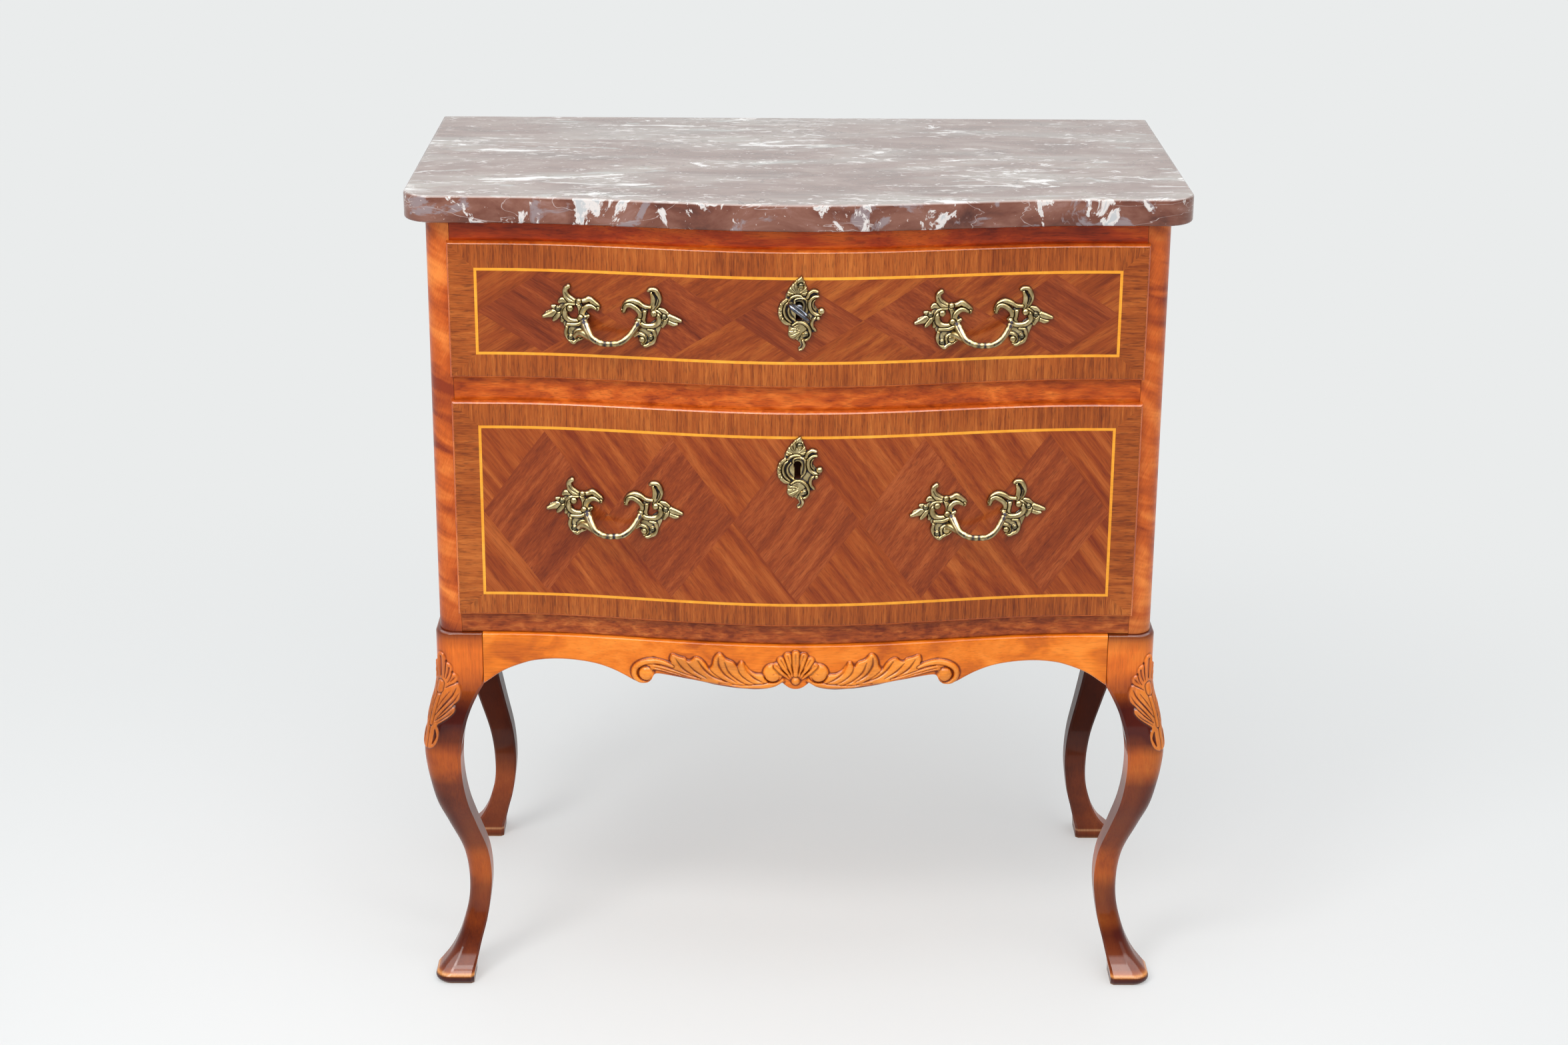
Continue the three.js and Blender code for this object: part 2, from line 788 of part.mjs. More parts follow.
// The key with its bit towards +X and its axis along Y.
function keyGeometry() {
  const neckY = faceCentreY - keyNeck;
  const shaft = roundBar(keyShaftRadius, [neckY, bitBackY], shaftSides);
  const bore = roundBar(keyBoreRadius, [faceCentreY + lipThickness, bitBackY + cutOverrun], tubeSides);
  const bit = boxBetween(
    [keyShaftRadius - joinSink, bitReach],
    [bitBackY - bitLength, bitBackY],
    [-bitThickness / 2, bitThickness / 2],
  );
  const oval = new THREE.Shape();
  oval.absellipse(0, 0, keyBowWidth / 2, keyBowLength / 2, 0, 2 * Math.PI);
  const eye = new THREE.Path();
  eye.absellipse(0, 0, keyBowWidth / 2 - keyBowBar, keyBowLength / 2 - keyBowBar, 0, 2 * Math.PI);
  oval.holes.push(eye);
  const bow = upright(oval, keyBowThickness, shaftSides);
  bow.translate(0, neckY + joinSink - keyBowLength / 2, -keyBowThickness / 2);
  return joined([shaft, bit, bow], [bore]);
}

// Drawers

// A keyhole through the escutcheon and the drawer front, into the lock.
function keyholeCut(keyZ) {
  const startY = faceCentreY - fittingGap - escutcheonThickness - cutOverrun;
  const endY = lockFrontY + cutOverrun;
  const round = roundBar(keyholeRadius, [startY, endY], shaftSides).translate(0, 0, keyZ);
  const slot = boxBetween(
    [-keyholeSlotHalf, keyholeSlotHalf],
    [startY, endY],
    [keyZ - keyholeSlotDrop, keyZ],
  );
  return joined([round, slot]);
}

// A hole for an escutcheon's pin, through the plate and into the drawer front.
function pinHole(x, z) {
  const startY = faceCentreY - fittingGap - escutcheonThickness - cutOverrun;
  const endY = faceCentreY + bowDepth - bowAt(x) + pinLength;
  return roundBar(pinHoleRadius, [startY, endY], tubeSides).translate(x, 0, z);
}

function escutcheonPins(keyZ) {
  return escutcheonPinShares.map(([across, up]) => {
    return [across * escutcheonWidth, keyZ + up * escutcheonHeight];
  });
}

function makeDrawerFront(group, level) {
  const highZ = level.height - drawerClearance;
  const lip = bowedBody(openingHalf + lipLap, [
    [lipBackY, -lipLap],
    [lipBackY, level.height + lipLap],
    [lipFrontY + lipRound, level.height + lipLap],
    [lipFrontY, level.height + lipLap - lipRound],
    [lipFrontY, lipRound - lipLap],
    [lipFrontY + lipRound, -lipLap],
  ]);
  const body = bowedBody(openingHalf - drawerClearance, [
    [lipBackY - joinSink, drawerClearance],
    [lipBackY - joinSink, highZ],
    [frontInnerY, highZ],
    [frontInnerY, drawerClearance],
  ]);
  const groove = bowedBody(boxInnerHalf + grooveDepth, [
    [frontInnerY - grooveDepth, grooveHeight - jointGap],
    [frontInnerY - grooveDepth, grooveHeight + drawerBottomThickness + jointGap],
    [frontInnerY + cutOverrun, grooveHeight + drawerBottomThickness + jointGap],
    [frontInnerY + cutOverrun, grooveHeight - jointGap],
  ]);
  const keyZ = highZ - lockBackset;
  const recessHalf = lockWidth / 2 + jointGap;
  const recess = boxBetween(
    [-recessHalf, recessHalf],
    [lockFrontY - jointGap, lockBackY + cutOverrun],
    [highZ - lockHeight - jointGap, highZ + cutOverrun],
  );
  const pinHoles = escutcheonPins(keyZ).map(([x, z]) => pinHole(x, z));
  const front = joined([lip, body], [groove, recess, keyholeCut(keyZ), ...pinHoles]);
  add(group, level.name + "_drawer_front", front, veneer);
}

function makeDrawerBox(group, level) {
  const topZ = level.height - topClearance;
  const bottomTopZ = grooveHeight + drawerBottomThickness;
  const grooveX = boxInnerHalf + grooveDepth;
  const section = shapeOf([
    [boxInnerHalf, jointGap],
    [boxOuterHalf, jointGap],
    [boxOuterHalf, topZ],
    [boxInnerHalf, topZ],
    [boxInnerHalf, bottomTopZ + jointGap],
    [grooveX, bottomTopZ + jointGap],
    [grooveX, grooveHeight - jointGap],
    [boxInnerHalf, grooveHeight - jointGap],
  ]);
  const side = facing(section, boxBackY - boxFrontY).translate(0, boxBackY, 0);
  add(group, level.name + "_drawer_right_side", side, innerWood);
  add(group, level.name + "_drawer_left_side", side, innerWood).scale.x = -1;

  const bottom = bowedBody(grooveX - jointGap, [
    [frontInnerY - grooveDepth + jointGap, grooveHeight],
    [frontInnerY - grooveDepth + jointGap, bottomTopZ],
    [boxBackY, bottomTopZ, 0],
    [boxBackY, grooveHeight, 0],
  ]);
  add(group, level.name + "_drawer_bottom", bottom, innerWood);

  const backHalf = boxInnerHalf - jointGap;
  const backY = [boxBackY - drawerBackThickness, boxBackY];
  const back = boxBetween([-backHalf, backHalf], backY, [bottomTopZ + jointGap, topZ]);
  add(group, level.name + "_drawer_back", back, innerWood);
}

// Handle seen from the front, round its own middle, with the drawer's face at Y = 0.
function handleGeometry() {
  const plates = [leftPlateShares, rightPlateShares].map((shares) => {
    const points = shares.map(([across, up]) => [across * handleWidth, up * handlePlateHeight]);
    return facing(shapeOf(points), handlePlateThickness);
  });
  const path = bailShares.map(([across, up, out]) => {
    return new THREE.Vector3(across * handleWidth, -out * bailReach, up * handlePlateHeight);
  });
  const ring = new THREE.Shape();
  ring.absarc(0, 0, bailRadius, 0, 2 * Math.PI);
  const bail = new THREE.ExtrudeGeometry(ring, {
    steps: bailSteps,
    curveSegments: tubeSides / 2,
    extrudePath: new THREE.CatmullRomCurve3(path),
  });
  const nails = handleNailShares.map(([across, up]) => {
    const nail = new THREE.SphereGeometry(handleNailRadius, tubeSides, roundSteps);
    return nail.translate(across * handleWidth, -handlePlateThickness, up * handlePlateHeight);
  });
  const floor = boxBetween([-handleWidth, handleWidth], [0, bailReach], [-handleWidth, handleWidth]);
  return joined([...plates, bail, ...nails], [floor]);
}

function makeHandles(group, level) {
  for (const [side, centreX] of [["left", -handleSpacing / 2], ["right", handleSpacing / 2]]) {
    const handle = followBow(handleGeometry(), centreX);
    const mesh = add(group, [level.name, side, "handle"].join("_"), handle, brass);
    mesh.position.set(centreX, lipFrontY - fittingGap, level.handleHeight);
  }
}

function makeEscutcheon(group, level) {
  const keyZ = level.height - drawerClearance - lockBackset;
  const outline = escutcheonShares.map(([across, up]) => {
    return [across * escutcheonWidth, up * escutcheonHeight];
  });
  const plate = facing(shapeOf(outline), escutcheonThickness);
  plate.translate(0, faceCentreY - fittingGap, keyZ);
  const pins = escutcheonPins(keyZ);
  const pierced = joined([plate], [keyholeCut(keyZ), ...pins.map(([x, z]) => pinHole(x, z))]);
  const followed = followBow(pierced, 0).translate(0, bowDepth, 0);
  add(group, level.name + "_escutcheon", followed, brass);

  pins.forEach(([x, z], which) => {
    const faceY = lipFrontY - bowAt(x) - fittingGap - escutcheonThickness - jointGap;
    const profile = [
      [0, -pinLength],
      [pinRadius, -pinLength],
      [pinRadius, 0],
      [pinHeadRadius, 0],
      [pinHeadRadius * Math.SQRT1_2, pinHeadRadius / 2],
      [0, pinHeadRadius * Math.SQRT1_2],
    ];
    const pin = new THREE.LatheGeometry(profile.map(([r, y]) => new THREE.Vector2(r, y)), tubeSides);
    const mesh = add(group, [level.name, "escutcheon_pin", which + 1].join("_"), pin, brass);
    mesh.position.set(x, faceY, z);
    mesh.rotation.x = Math.PI;
  });
}

function makeDrawer(group, level) {
  const drawer = new THREE.Group();
  drawer.position.z = level.z;
  group.add(drawer);
  makeDrawerFront(drawer, level);
  makeDrawerBox(drawer, level);
  makeLock(drawer, level);
  makeHandles(drawer, level);
  makeEscutcheon(drawer, level);
  return drawer;
}

// Whole chest. The group's middle in plan is the middle of the box that the chest fills, from the key's
// bow to the back feet.
const rearReach = frameBackY + legBlock * Math.max(...legProfileShares.map(([, outer]) => outer));
const frontReach = faceCentreY - keyNeck + joinSink - keyBowLength;

const chest = new THREE.Group();
chest.position.y = -(rearReach + frontReach) / 2;
makeSlab(chest);
makeCase(chest);
makeLegFrame(chest);

const upper = {
  name: "upper",
  z: upperOpeningZ,
  height: upperOpeningHeight,
  handleHeight: upperHandleHeight,
};
const lower = {
  name: "lower",
  z: lowerOpeningZ,
  height: lowerOpeningHeight,
  handleHeight: lowerHandleHeight,
};
const upperDrawer = makeDrawer(chest, upper);
makeDrawer(chest, lower);

const key = add(upperDrawer, "key", keyGeometry(), steel);
key.position.z = upper.height - drawerClearance - lockBackset;
key.rotation.y = degrees(keyRestAngle);

const part = new THREE.Group();
part.add(chest);

export default part;
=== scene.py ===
import bmesh
import bpy
import json
import math
import numpy as np
from mathutils import Matrix


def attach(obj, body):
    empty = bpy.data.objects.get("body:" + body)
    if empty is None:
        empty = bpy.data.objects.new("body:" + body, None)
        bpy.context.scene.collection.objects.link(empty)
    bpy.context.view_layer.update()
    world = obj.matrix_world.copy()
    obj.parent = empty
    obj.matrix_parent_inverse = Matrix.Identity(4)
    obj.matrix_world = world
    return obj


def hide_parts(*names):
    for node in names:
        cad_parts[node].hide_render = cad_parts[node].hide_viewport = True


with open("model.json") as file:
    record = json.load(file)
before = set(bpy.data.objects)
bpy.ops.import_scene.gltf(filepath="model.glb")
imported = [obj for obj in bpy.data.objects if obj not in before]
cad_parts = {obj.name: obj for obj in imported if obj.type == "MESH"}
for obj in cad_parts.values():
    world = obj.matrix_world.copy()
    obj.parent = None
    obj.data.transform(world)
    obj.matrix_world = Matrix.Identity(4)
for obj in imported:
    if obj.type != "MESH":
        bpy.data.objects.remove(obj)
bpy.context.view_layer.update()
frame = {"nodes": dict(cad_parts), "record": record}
rowShift = 211.9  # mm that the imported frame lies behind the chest's own zero, the back of the slab

# Sizes are in millimetres in the chest's own axes: x to the right, y towards the back, z up.
chest = {"bow": 31, "bowHalf": 295, "frameTop": 388.3, "frameFront": -369, "frameHalf": 360}


def bow(x):
    # How far the front swells forward at a place across
    wave = chest["bow"] * (1 + np.cos(np.pi * np.asarray(x, float) / chest["bowHalf"])) / 2
    return np.where(np.abs(x) < chest["bowHalf"], wave, 0)


# Camera, light and floor

view = {"place": (-0.03457, -2.7361, 1.41791), "lens": 63.92, "turn": (-0.49478, 70.5386, 0.39638)}
light = {
    "world": 0.62, "sky": "#F4F7FA", "wall": "#EAECEC", "floor": "#E4E6E7",
    # what polish mirrors: a dim room in front of the chest and a bright ceiling
    "roomFront": 0.2, "ceiling": 6.0,
    # energy, tilt and yaw in degrees, distance and size in metres of each lamp
    "lamps": {"window": (32, (56, -36), 3.2, (1.0, 1.5)), "room": (14, (62, 44), 3.6, (2.2, 1.6)),
              "strip": (30, (41, -9), 2.6, (2.6, 0.5)), "ceiling": (16, (12, 0), 2.4, (2.2, 1.2))},
    "lampColour": (1, 0.985, 0.96), "lampAim": (0, 0, 0.5),
}


def setCamera():
    camera = bpy.data.objects.new("camera", bpy.data.cameras.new("camera"))
    bpy.context.scene.collection.objects.link(camera)
    yaw, tilt, roll = [math.radians(a) for a in view["turn"]]
    turn = Matrix.Rotation(yaw, 4, "Z") @ Matrix.Rotation(tilt, 4, "X") @ Matrix.Rotation(roll, 4, "Z")
    camera.matrix_world = Matrix.Translation(view["place"]) @ turn
    camera.data.lens = view["lens"]
    camera.data.sensor_width = 36
    bpy.context.scene.camera = camera


def linear(hexColour):
    values = [int(hexColour[i:i + 2], 16) / 255 for i in (1, 3, 5)]
    return [v / 12.92 if v <= 0.04045 else ((v + 0.055) / 1.055) ** 2.4 for v in values] + [1]


def addNode(tree, kind, settings=None, links=None):
    # A kind without the word Node in it is a shader node. A setting that starts with a capital, or a number,
    # is a socket; the others are the node's own.
    node = tree.nodes.new(kind if "Node" in kind else "ShaderNode" + kind)
    for name, value in (settings or {}).items():
        if isinstance(name, int) or name[0].isupper():
            node.inputs[name].default_value = value
        else:
            setattr(node, name, value)
    for name, source in (links or {}).items():
        output = source if isinstance(source, bpy.types.NodeSocket) else source.outputs[0]
        tree.links.new(output, node.inputs[name])
    return node


def addRamp(tree, source, stops):
    ramp = addNode(tree, "ValToRGB", {}, {"Fac": source})
    elements = ramp.color_ramp.elements
    while len(elements) < len(stops):
        elements.new(0.5)
    for element, (place, colour) in zip(elements, stops):
        element.position = place
        element.color = linear(colour)
    return ramp


def newMaterial(name, finish):
    material = bpy.data.materials.new(name)
    material.use_nodes = True
    shader = material.node_tree.nodes["Principled BSDF"]
    for socket, value in finish.items():
        shader.inputs[socket].default_value = value
    return material, material.node_tree, shader


def seenRays(tree, path):
    # 1 for rays from the camera, a mirror or glass, 0 for rays that gather light
    seen = path.outputs["Is Camera Ray"]
    for name in ("Is Glossy Ray", "Is Transmission Ray"):
        seen = addNode(tree, "Math", {"operation": "MAXIMUM"}, {0: seen, 1: path.outputs[name]})
    return seen


def setLight():
    world = bpy.data.worlds.new("paleRoom")
    bpy.context.scene.world = world
    world.use_nodes = True
    tree = world.node_tree
    tree.nodes.clear()
    sky = addNode(tree, "Background", {"Color": linear(light["sky"]), "Strength": light["world"]})
    # Around the chest the wall is pale. Polish mirrors it too, but dim in front and bright above.
    place = addNode(tree, "TexCoord")
    parts = addNode(tree, "SeparateXYZ", {}, {0: place.outputs["Generated"]})
    front = addNode(tree, "MapRange", {"From Min": -0.5, "From Max": 0.3, "To Min": light["roomFront"]},
                    {"Value": parts.outputs["Y"]})
    above = addNode(tree, "MapRange", {"From Min": 0.56, "From Max": 0.64, "To Max": light["ceiling"]},
                    {"Value": parts.outputs["Z"]})
    room = addNode(tree, "Math", {"operation": "MAXIMUM"}, {0: front, 1: above})
    path = addNode(tree, "LightPath")
    strength = addNode(tree, "Mix", {3: 1.0}, {0: path.outputs["Is Camera Ray"], 2: room})
    wall = addNode(tree, "Background", {"Color": linear(light["wall"])}, {"Strength": strength})
    mix = addNode(tree, "MixShader", {}, {"Fac": seenRays(tree, path), 1: sky, 2: wall})
    addNode(tree, "OutputWorld", {}, {"Surface": mix})
    for name, (energy, (tilt, yaw), away, size) in light["lamps"].items():
        lamp = bpy.data.objects.new(name, bpy.data.lights.new(name, "AREA"))
        lamp.data.shape = "RECTANGLE"
        lamp.data.size, lamp.data.size_y = size
        lamp.data.energy = energy
        lamp.data.color = light["lampColour"]
        turned = Matrix.Rotation(math.radians(yaw), 4, "Z") @ Matrix.Rotation(math.radians(tilt), 4, "X")
        lamp.matrix_world = Matrix.Translation(light["lampAim"]) @ turned @ Matrix.Translation((0, 0, away))
        bpy.context.scene.collection.objects.link(lamp)
    bpy.context.scene.view_settings.view_transform = "Standard"


def layFloor():
    mesh = bpy.data.meshes.new("floor")
    mesh.from_pydata([(-12, -12, 0), (12, -12, 0), (12, 12, 0), (-12, 12, 0)], [], [(0, 1, 2, 3)])
    # Pale painted floor: matt, and away from the chest as even as the wall
    material, tree, shader = newMaterial("paintedFloor", {"Roughness": 0.6, "Specular IOR Level": 0.2,
                                                          "Base Color": linear(light["floor"])})
    place = addNode(tree, "TexCoord")
    away = addNode(tree, "VectorMath", {"operation": "LENGTH"}, {0: place.outputs["Object"]})
    blend = {"interpolation_type": "SMOOTHSTEP", "From Min": 0.5, "From Max": 1.7, "To Min": 0.42}
    far = addNode(tree, "MapRange", blend, {"Value": away.outputs["Value"]})
    seen = seenRays(tree, addNode(tree, "LightPath"))
    share = addNode(tree, "Math", {"operation": "MULTIPLY"}, {0: seen, 1: far})
    even = addNode(tree, "Emission", {"Color": linear(light["wall"])})
    mix = addNode(tree, "MixShader", {}, {"Fac": share, 1: shader, 2: even})
    tree.links.new(mix.outputs[0], tree.nodes["Material Output"].inputs["Surface"])
    mesh.materials.append(material)
    floor = bpy.data.objects.new("floor", mesh)
    bpy.context.scene.collection.objects.link(floor)


setCamera()
setLight()
layFloor()
print("camera, light and floor")

# Meshes


def makePiece(name, points, faces, materials, smoothAngle=35, attributes=None, faceSlots=None):
    mesh = bpy.data.meshes.new(name)
    points = (np.asarray(points, float) + [0, rowShift, 0]) / 1000
    mesh.from_pydata(points.tolist(), [], faces)
    for material in materials:
        mesh.materials.append(material)
    if faceSlots is not None:
        mesh.polygons.foreach_set("material_index", np.asarray(faceSlots, np.int32))
    for label, values in (attributes or {}).items():
        layer = mesh.attributes.new(label, "FLOAT", "POINT")
        layer.data.foreach_set("value", np.asarray(values, np.float32).ravel())
    tidyMesh(mesh, smoothAngle)
    piece = bpy.data.objects.new(name, mesh)
    bpy.context.scene.collection.objects.link(piece)
    return piece


def tidyMesh(mesh, smoothAngle):
    form = bmesh.new()
    form.from_mesh(mesh)
    bmesh.ops.remove_doubles(form, verts=form.verts, dist=2e-6)
    bmesh.ops.dissolve_degenerate(form, edges=form.edges, dist=2e-6)
    bmesh.ops.recalc_face_normals(form, faces=form.faces)
    form.to_mesh(mesh)
    form.free()
    mesh.shade_smooth()
    mesh.set_sharp_from_angle(angle=math.radians(smoothAngle))


def shifted(faces, start):
    return [[v + start for v in face] for face in faces]


def joined(parts):
    # Several meshes as one, each given as points and faces
    points, faces = [], []
    for partPoints, partFaces in parts:
        faces += shifted(partFaces, sum(map(len, points)))
        points.append(partPoints)
    return np.vstack(points), faces


def loft(rings, closed=False):
    # Skins rings of one count; the ends are capped, or joined to each other
    index = np.arange(rings[..., 0].size).reshape(rings.shape[:2])
    near, far = (index, np.roll(index, -1, 0)) if closed else (index[:-1], index[1:])
    quads = np.stack([near, np.roll(near, -1, 1), np.roll(far, -1, 1), far], -1).reshape(-1, 4)
    caps = [] if closed else [index[0][::-1].tolist(), index[-1].tolist()]
    return rings.reshape(-1, 3), quads.tolist() + caps


def curveValue(at, places, values):
    # Smooth curve through the given values
    places, values = np.asarray(places, float), np.asarray(values, float)
    slopes = np.gradient(values, places)
    k = np.clip(np.searchsorted(places, at) - 1, 0, len(places) - 2)
    span = places[k + 1] - places[k]
    t = (at - places[k]) / span
    start = values[k] * (1 + 2 * t) * (1 - t) ** 2 + span * slopes[k] * t * (1 - t) ** 2
    return start + values[k + 1] * t * t * (3 - 2 * t) + span * slopes[k + 1] * t * t * (t - 1)


def smoothPath(points, steps=7):
    # Smooth curve through points, with a number of steps from each to the next
    points = np.asarray(points, float)
    if len(points) == 1:
        points = np.vstack([points, points + 0.01])
    ends = np.vstack([2 * points[0] - points[1], points, 2 * points[-1] - points[-2]])
    t = np.linspace(0, 1, steps, endpoint=False)[:, None]
    runs = []
    for a, b, c, d in zip(ends, ends[1:], ends[2:], ends[3:]):
        bend, swing = a - 2.5 * b + 2 * c - d / 2, 1.5 * (b - c) + (d - a) / 2
        runs.append(b + (c - a) * t / 2 + bend * t ** 2 + swing * t ** 3)
    return np.vstack(runs + [points[-1:]])


keyhole = {"radius": 3.7, "slotHalf": 2.6, "slotLow": 13.8, "slotAngle": 45.4, "cut": (-410, -385)}


def cutBoxes(piece, boxes, keyholes=()):
    # Cuts boxes given by two corners, and keyholes given by the height of their axis
    form = bmesh.new()
    for low, high in np.array(boxes, float):
        made = bmesh.ops.create_cube(form, size=1)["verts"]
        bmesh.ops.scale(form, vec=high - low, verts=made)
        bmesh.ops.translate(form, vec=(low + high) / 2, verts=made)
    form.verts.index_update()
    parts = [([v.co[:] for v in form.verts], [[v.index for v in f.verts] for f in form.faces])]
    form.free()
    radius, half, angle = keyhole["radius"], keyhole["slotHalf"], keyhole["slotAngle"]
    for axisZ in keyholes:
        turns = np.radians(np.linspace(-angle, 180 + angle, 25))
        outline = [(radius * math.cos(a), axisZ + radius * math.sin(a)) for a in turns]
        outline += [(-half, axisZ - keyhole["slotLow"]), (half, axisZ - keyhole["slotLow"])]
        parts.append(loft(np.array([[(x, y, z) for x, z in outline] for y in keyhole["cut"]])))
    points, faces = joined(parts)
    # the cut walls take the last slot, on a drawer front the near-black wood of painted shade
    last = len(piece.data.materials) - 1
    cutter = makePiece("cutter", points, faces, list(piece.data.materials), faceSlots=[last] * len(faces))
    step = piece.modifiers.new("cut", "BOOLEAN")
    step.object = cutter
    step.solver = "EXACT"
    step.operation = "DIFFERENCE"
    cutMesh = bpy.data.meshes.new_from_object(piece.evaluated_get(bpy.context.evaluated_depsgraph_get()))
    piece.modifiers.clear()
    piece.data = cutMesh
    tidyMesh(cutMesh, 35)
    bpy.data.objects.remove(cutter)


# Carving and casting: heights over a grid, built from strokes along smooth paths


def newField(x, z):
    return {"x": x, "z": z, "height": np.zeros_like(x), "cover": np.full_like(x, -50.0)}


def carve(field, points, widths, height, section="round", moat=1.1):
    # Draws one stroke: raised with a section, or cut, and with a fine groove round a raised one
    path = smoothPath(points)
    along = np.linspace(0, 1, len(path))
    half = np.interp(along, np.linspace(0, 1, np.size(widths)), np.atleast_1d(widths)) / 2
    rise = np.interp(along, np.linspace(0, 1, np.size(height)), np.atleast_1d(height))
    reach = half.max() + moat + 3
    low, high = path.min(0) - reach, path.max(0) + reach
    x, z = field["x"], field["z"]
    near = np.nonzero((x > low[0]) & (x < high[0]) & (z > low[1]) & (z < high[1]))
    x, z = x[near], z[near]
    best, share, place = np.full(x.shape, 1e9), np.ones(x.shape), np.zeros(x.shape)
    for i in range(len(path) - 1):
        run = path[i + 1] - path[i]
        t = np.clip(((x - path[i, 0]) * run[0] + (z - path[i, 1]) * run[1]) / max(run @ run, 1e-9), 0, 1)
        distance = np.hypot(x - path[i, 0] - t * run[0], z - path[i, 1] - t * run[1])
        width = np.maximum(half[i] + t * (half[i + 1] - half[i]), 0.05)
        better = distance - width < best
        best = np.where(better, distance - width, best)
        share = np.where(better, distance / width, share)
        place = np.where(better, (i + t) / (len(path) - 1), place)
    share = np.clip(share, 0, 1)
    tall = np.interp(place, along, rise)
    old = field["height"][near]
    inside = best < 0
    if section == "cut":
        field["height"][near] = np.where(inside, old - tall * (1 - share ** 2), old)
        return
    if section == "round":
        profile = np.sqrt(1 - share ** 2)
    elif section == "flat":
        profile = 1 - share ** 4
    elif section == "scallop":
        profile = (1 - share ** 3) * (0.7 + 0.3 * np.abs(np.sin(3 * np.pi * place)))
    else:  # a ridge
        profile = 1 - 0.8 * share
    fade = 0.25 + 0.75 * np.clip(best / moat, 0, 1)
    field["height"][near] = np.where(inside, np.maximum(0.25 * old, tall * profile), old * fade)
    field["cover"][near] = np.maximum(field["cover"][near], -best)


def drawStrokes(field, strokes, moat, full=1):
    for points, widths, height, section in strokes:
        carve(field, points, full * np.array(widths), height, section, moat)


def outlineDistance(x, z, outline):
    # Distance to a closed outline, positive inside it
    outline = np.array(outline, float)
    nearest, inside = np.full(x.shape, 1e9), np.zeros(x.shape, bool)
    for a, b in zip(outline, np.roll(outline, -1, 0)):
        run = b - a
        t = np.clip(((x - a[0]) * run[0] + (z - a[1]) * run[1]) / (run @ run), 0, 1)
        nearest = np.minimum(nearest, np.hypot(x - a[0] - t * run[0], z - a[1] - t * run[1]))
        crosses = (a[1] > z) != (b[1] > z)
        inside ^= crosses & (x < a[0] + (z - a[1]) * run[0] / (run[1] if run[1] else 1e-9))
    return np.where(inside, nearest, -nearest)


def raiseOutline(field, outline, height, soft, moat=1):
    # Lifts everything inside an outline, with rounded shoulders and a fine groove round it
    closed = smoothPath(list(outline) + [outline[0]], 3)[:-1]
    distance = outlineDistance(field["x"], field["z"], closed)
    shoulder = 1 - np.clip(distance / soft, 0, 1)
    lifted = height * np.sqrt(1 - shoulder ** 2)
    fade = 0.25 + 0.75 * np.clip(-distance / moat, 0, 1)
    field["height"] = np.where(distance > 0, np.maximum(field["height"], lifted), field["height"] * fade)
    field["cover"] = np.maximum(field["cover"], distance)


def blurred(values, reach):
    # Softened by a bell curve whose reach is in grid steps
    side = math.ceil(3 * reach)
    weights = np.exp(-0.5 * (np.arange(-side, side + 1) / reach) ** 2)
    weights /= weights.sum()
    for axis in (0, 1):
        widths = [(0, 0), (0, 0)]
        widths[axis] = (side, side)
        padded = np.pad(values, widths, mode="edge")
        values = np.apply_along_axis(lambda line: np.convolve(line, weights, "valid"), axis, padded)
    return values


def recess(height, reach, depth):
    # 1 in the bottom of a groove, 0 on open ground, a little below 0 on a ridge
    return np.clip((blurred(height, reach) - height) / depth, -1, 1)


def keepOneBody(solid):
    # Fills corners that touch only diagonally, then keeps the largest connected patch
    for _ in range(3):
        a, b, c, d = solid[:-1, :-1], solid[1:, 1:], solid[1:, :-1], solid[:-1, 1:]
        solid[1:, :-1] |= a & b & ~c & ~d
        solid[:-1, :-1] |= c & d & ~a & ~b
    left = set(zip(*np.nonzero(solid)))
    largest = []
    while left:
        patch = [left.pop()]
        for i, j in patch:
            for step in ((i + 1, j), (i - 1, j), (i, j + 1), (i, j - 1)):
                if step in left:
                    left.remove(step)
                    patch.append(step)
        largest = max(largest, patch, key=len)
    kept = np.zeros_like(solid)
    rows, columns = zip(*largest)
    kept[list(rows), list(columns)] = True
    return kept


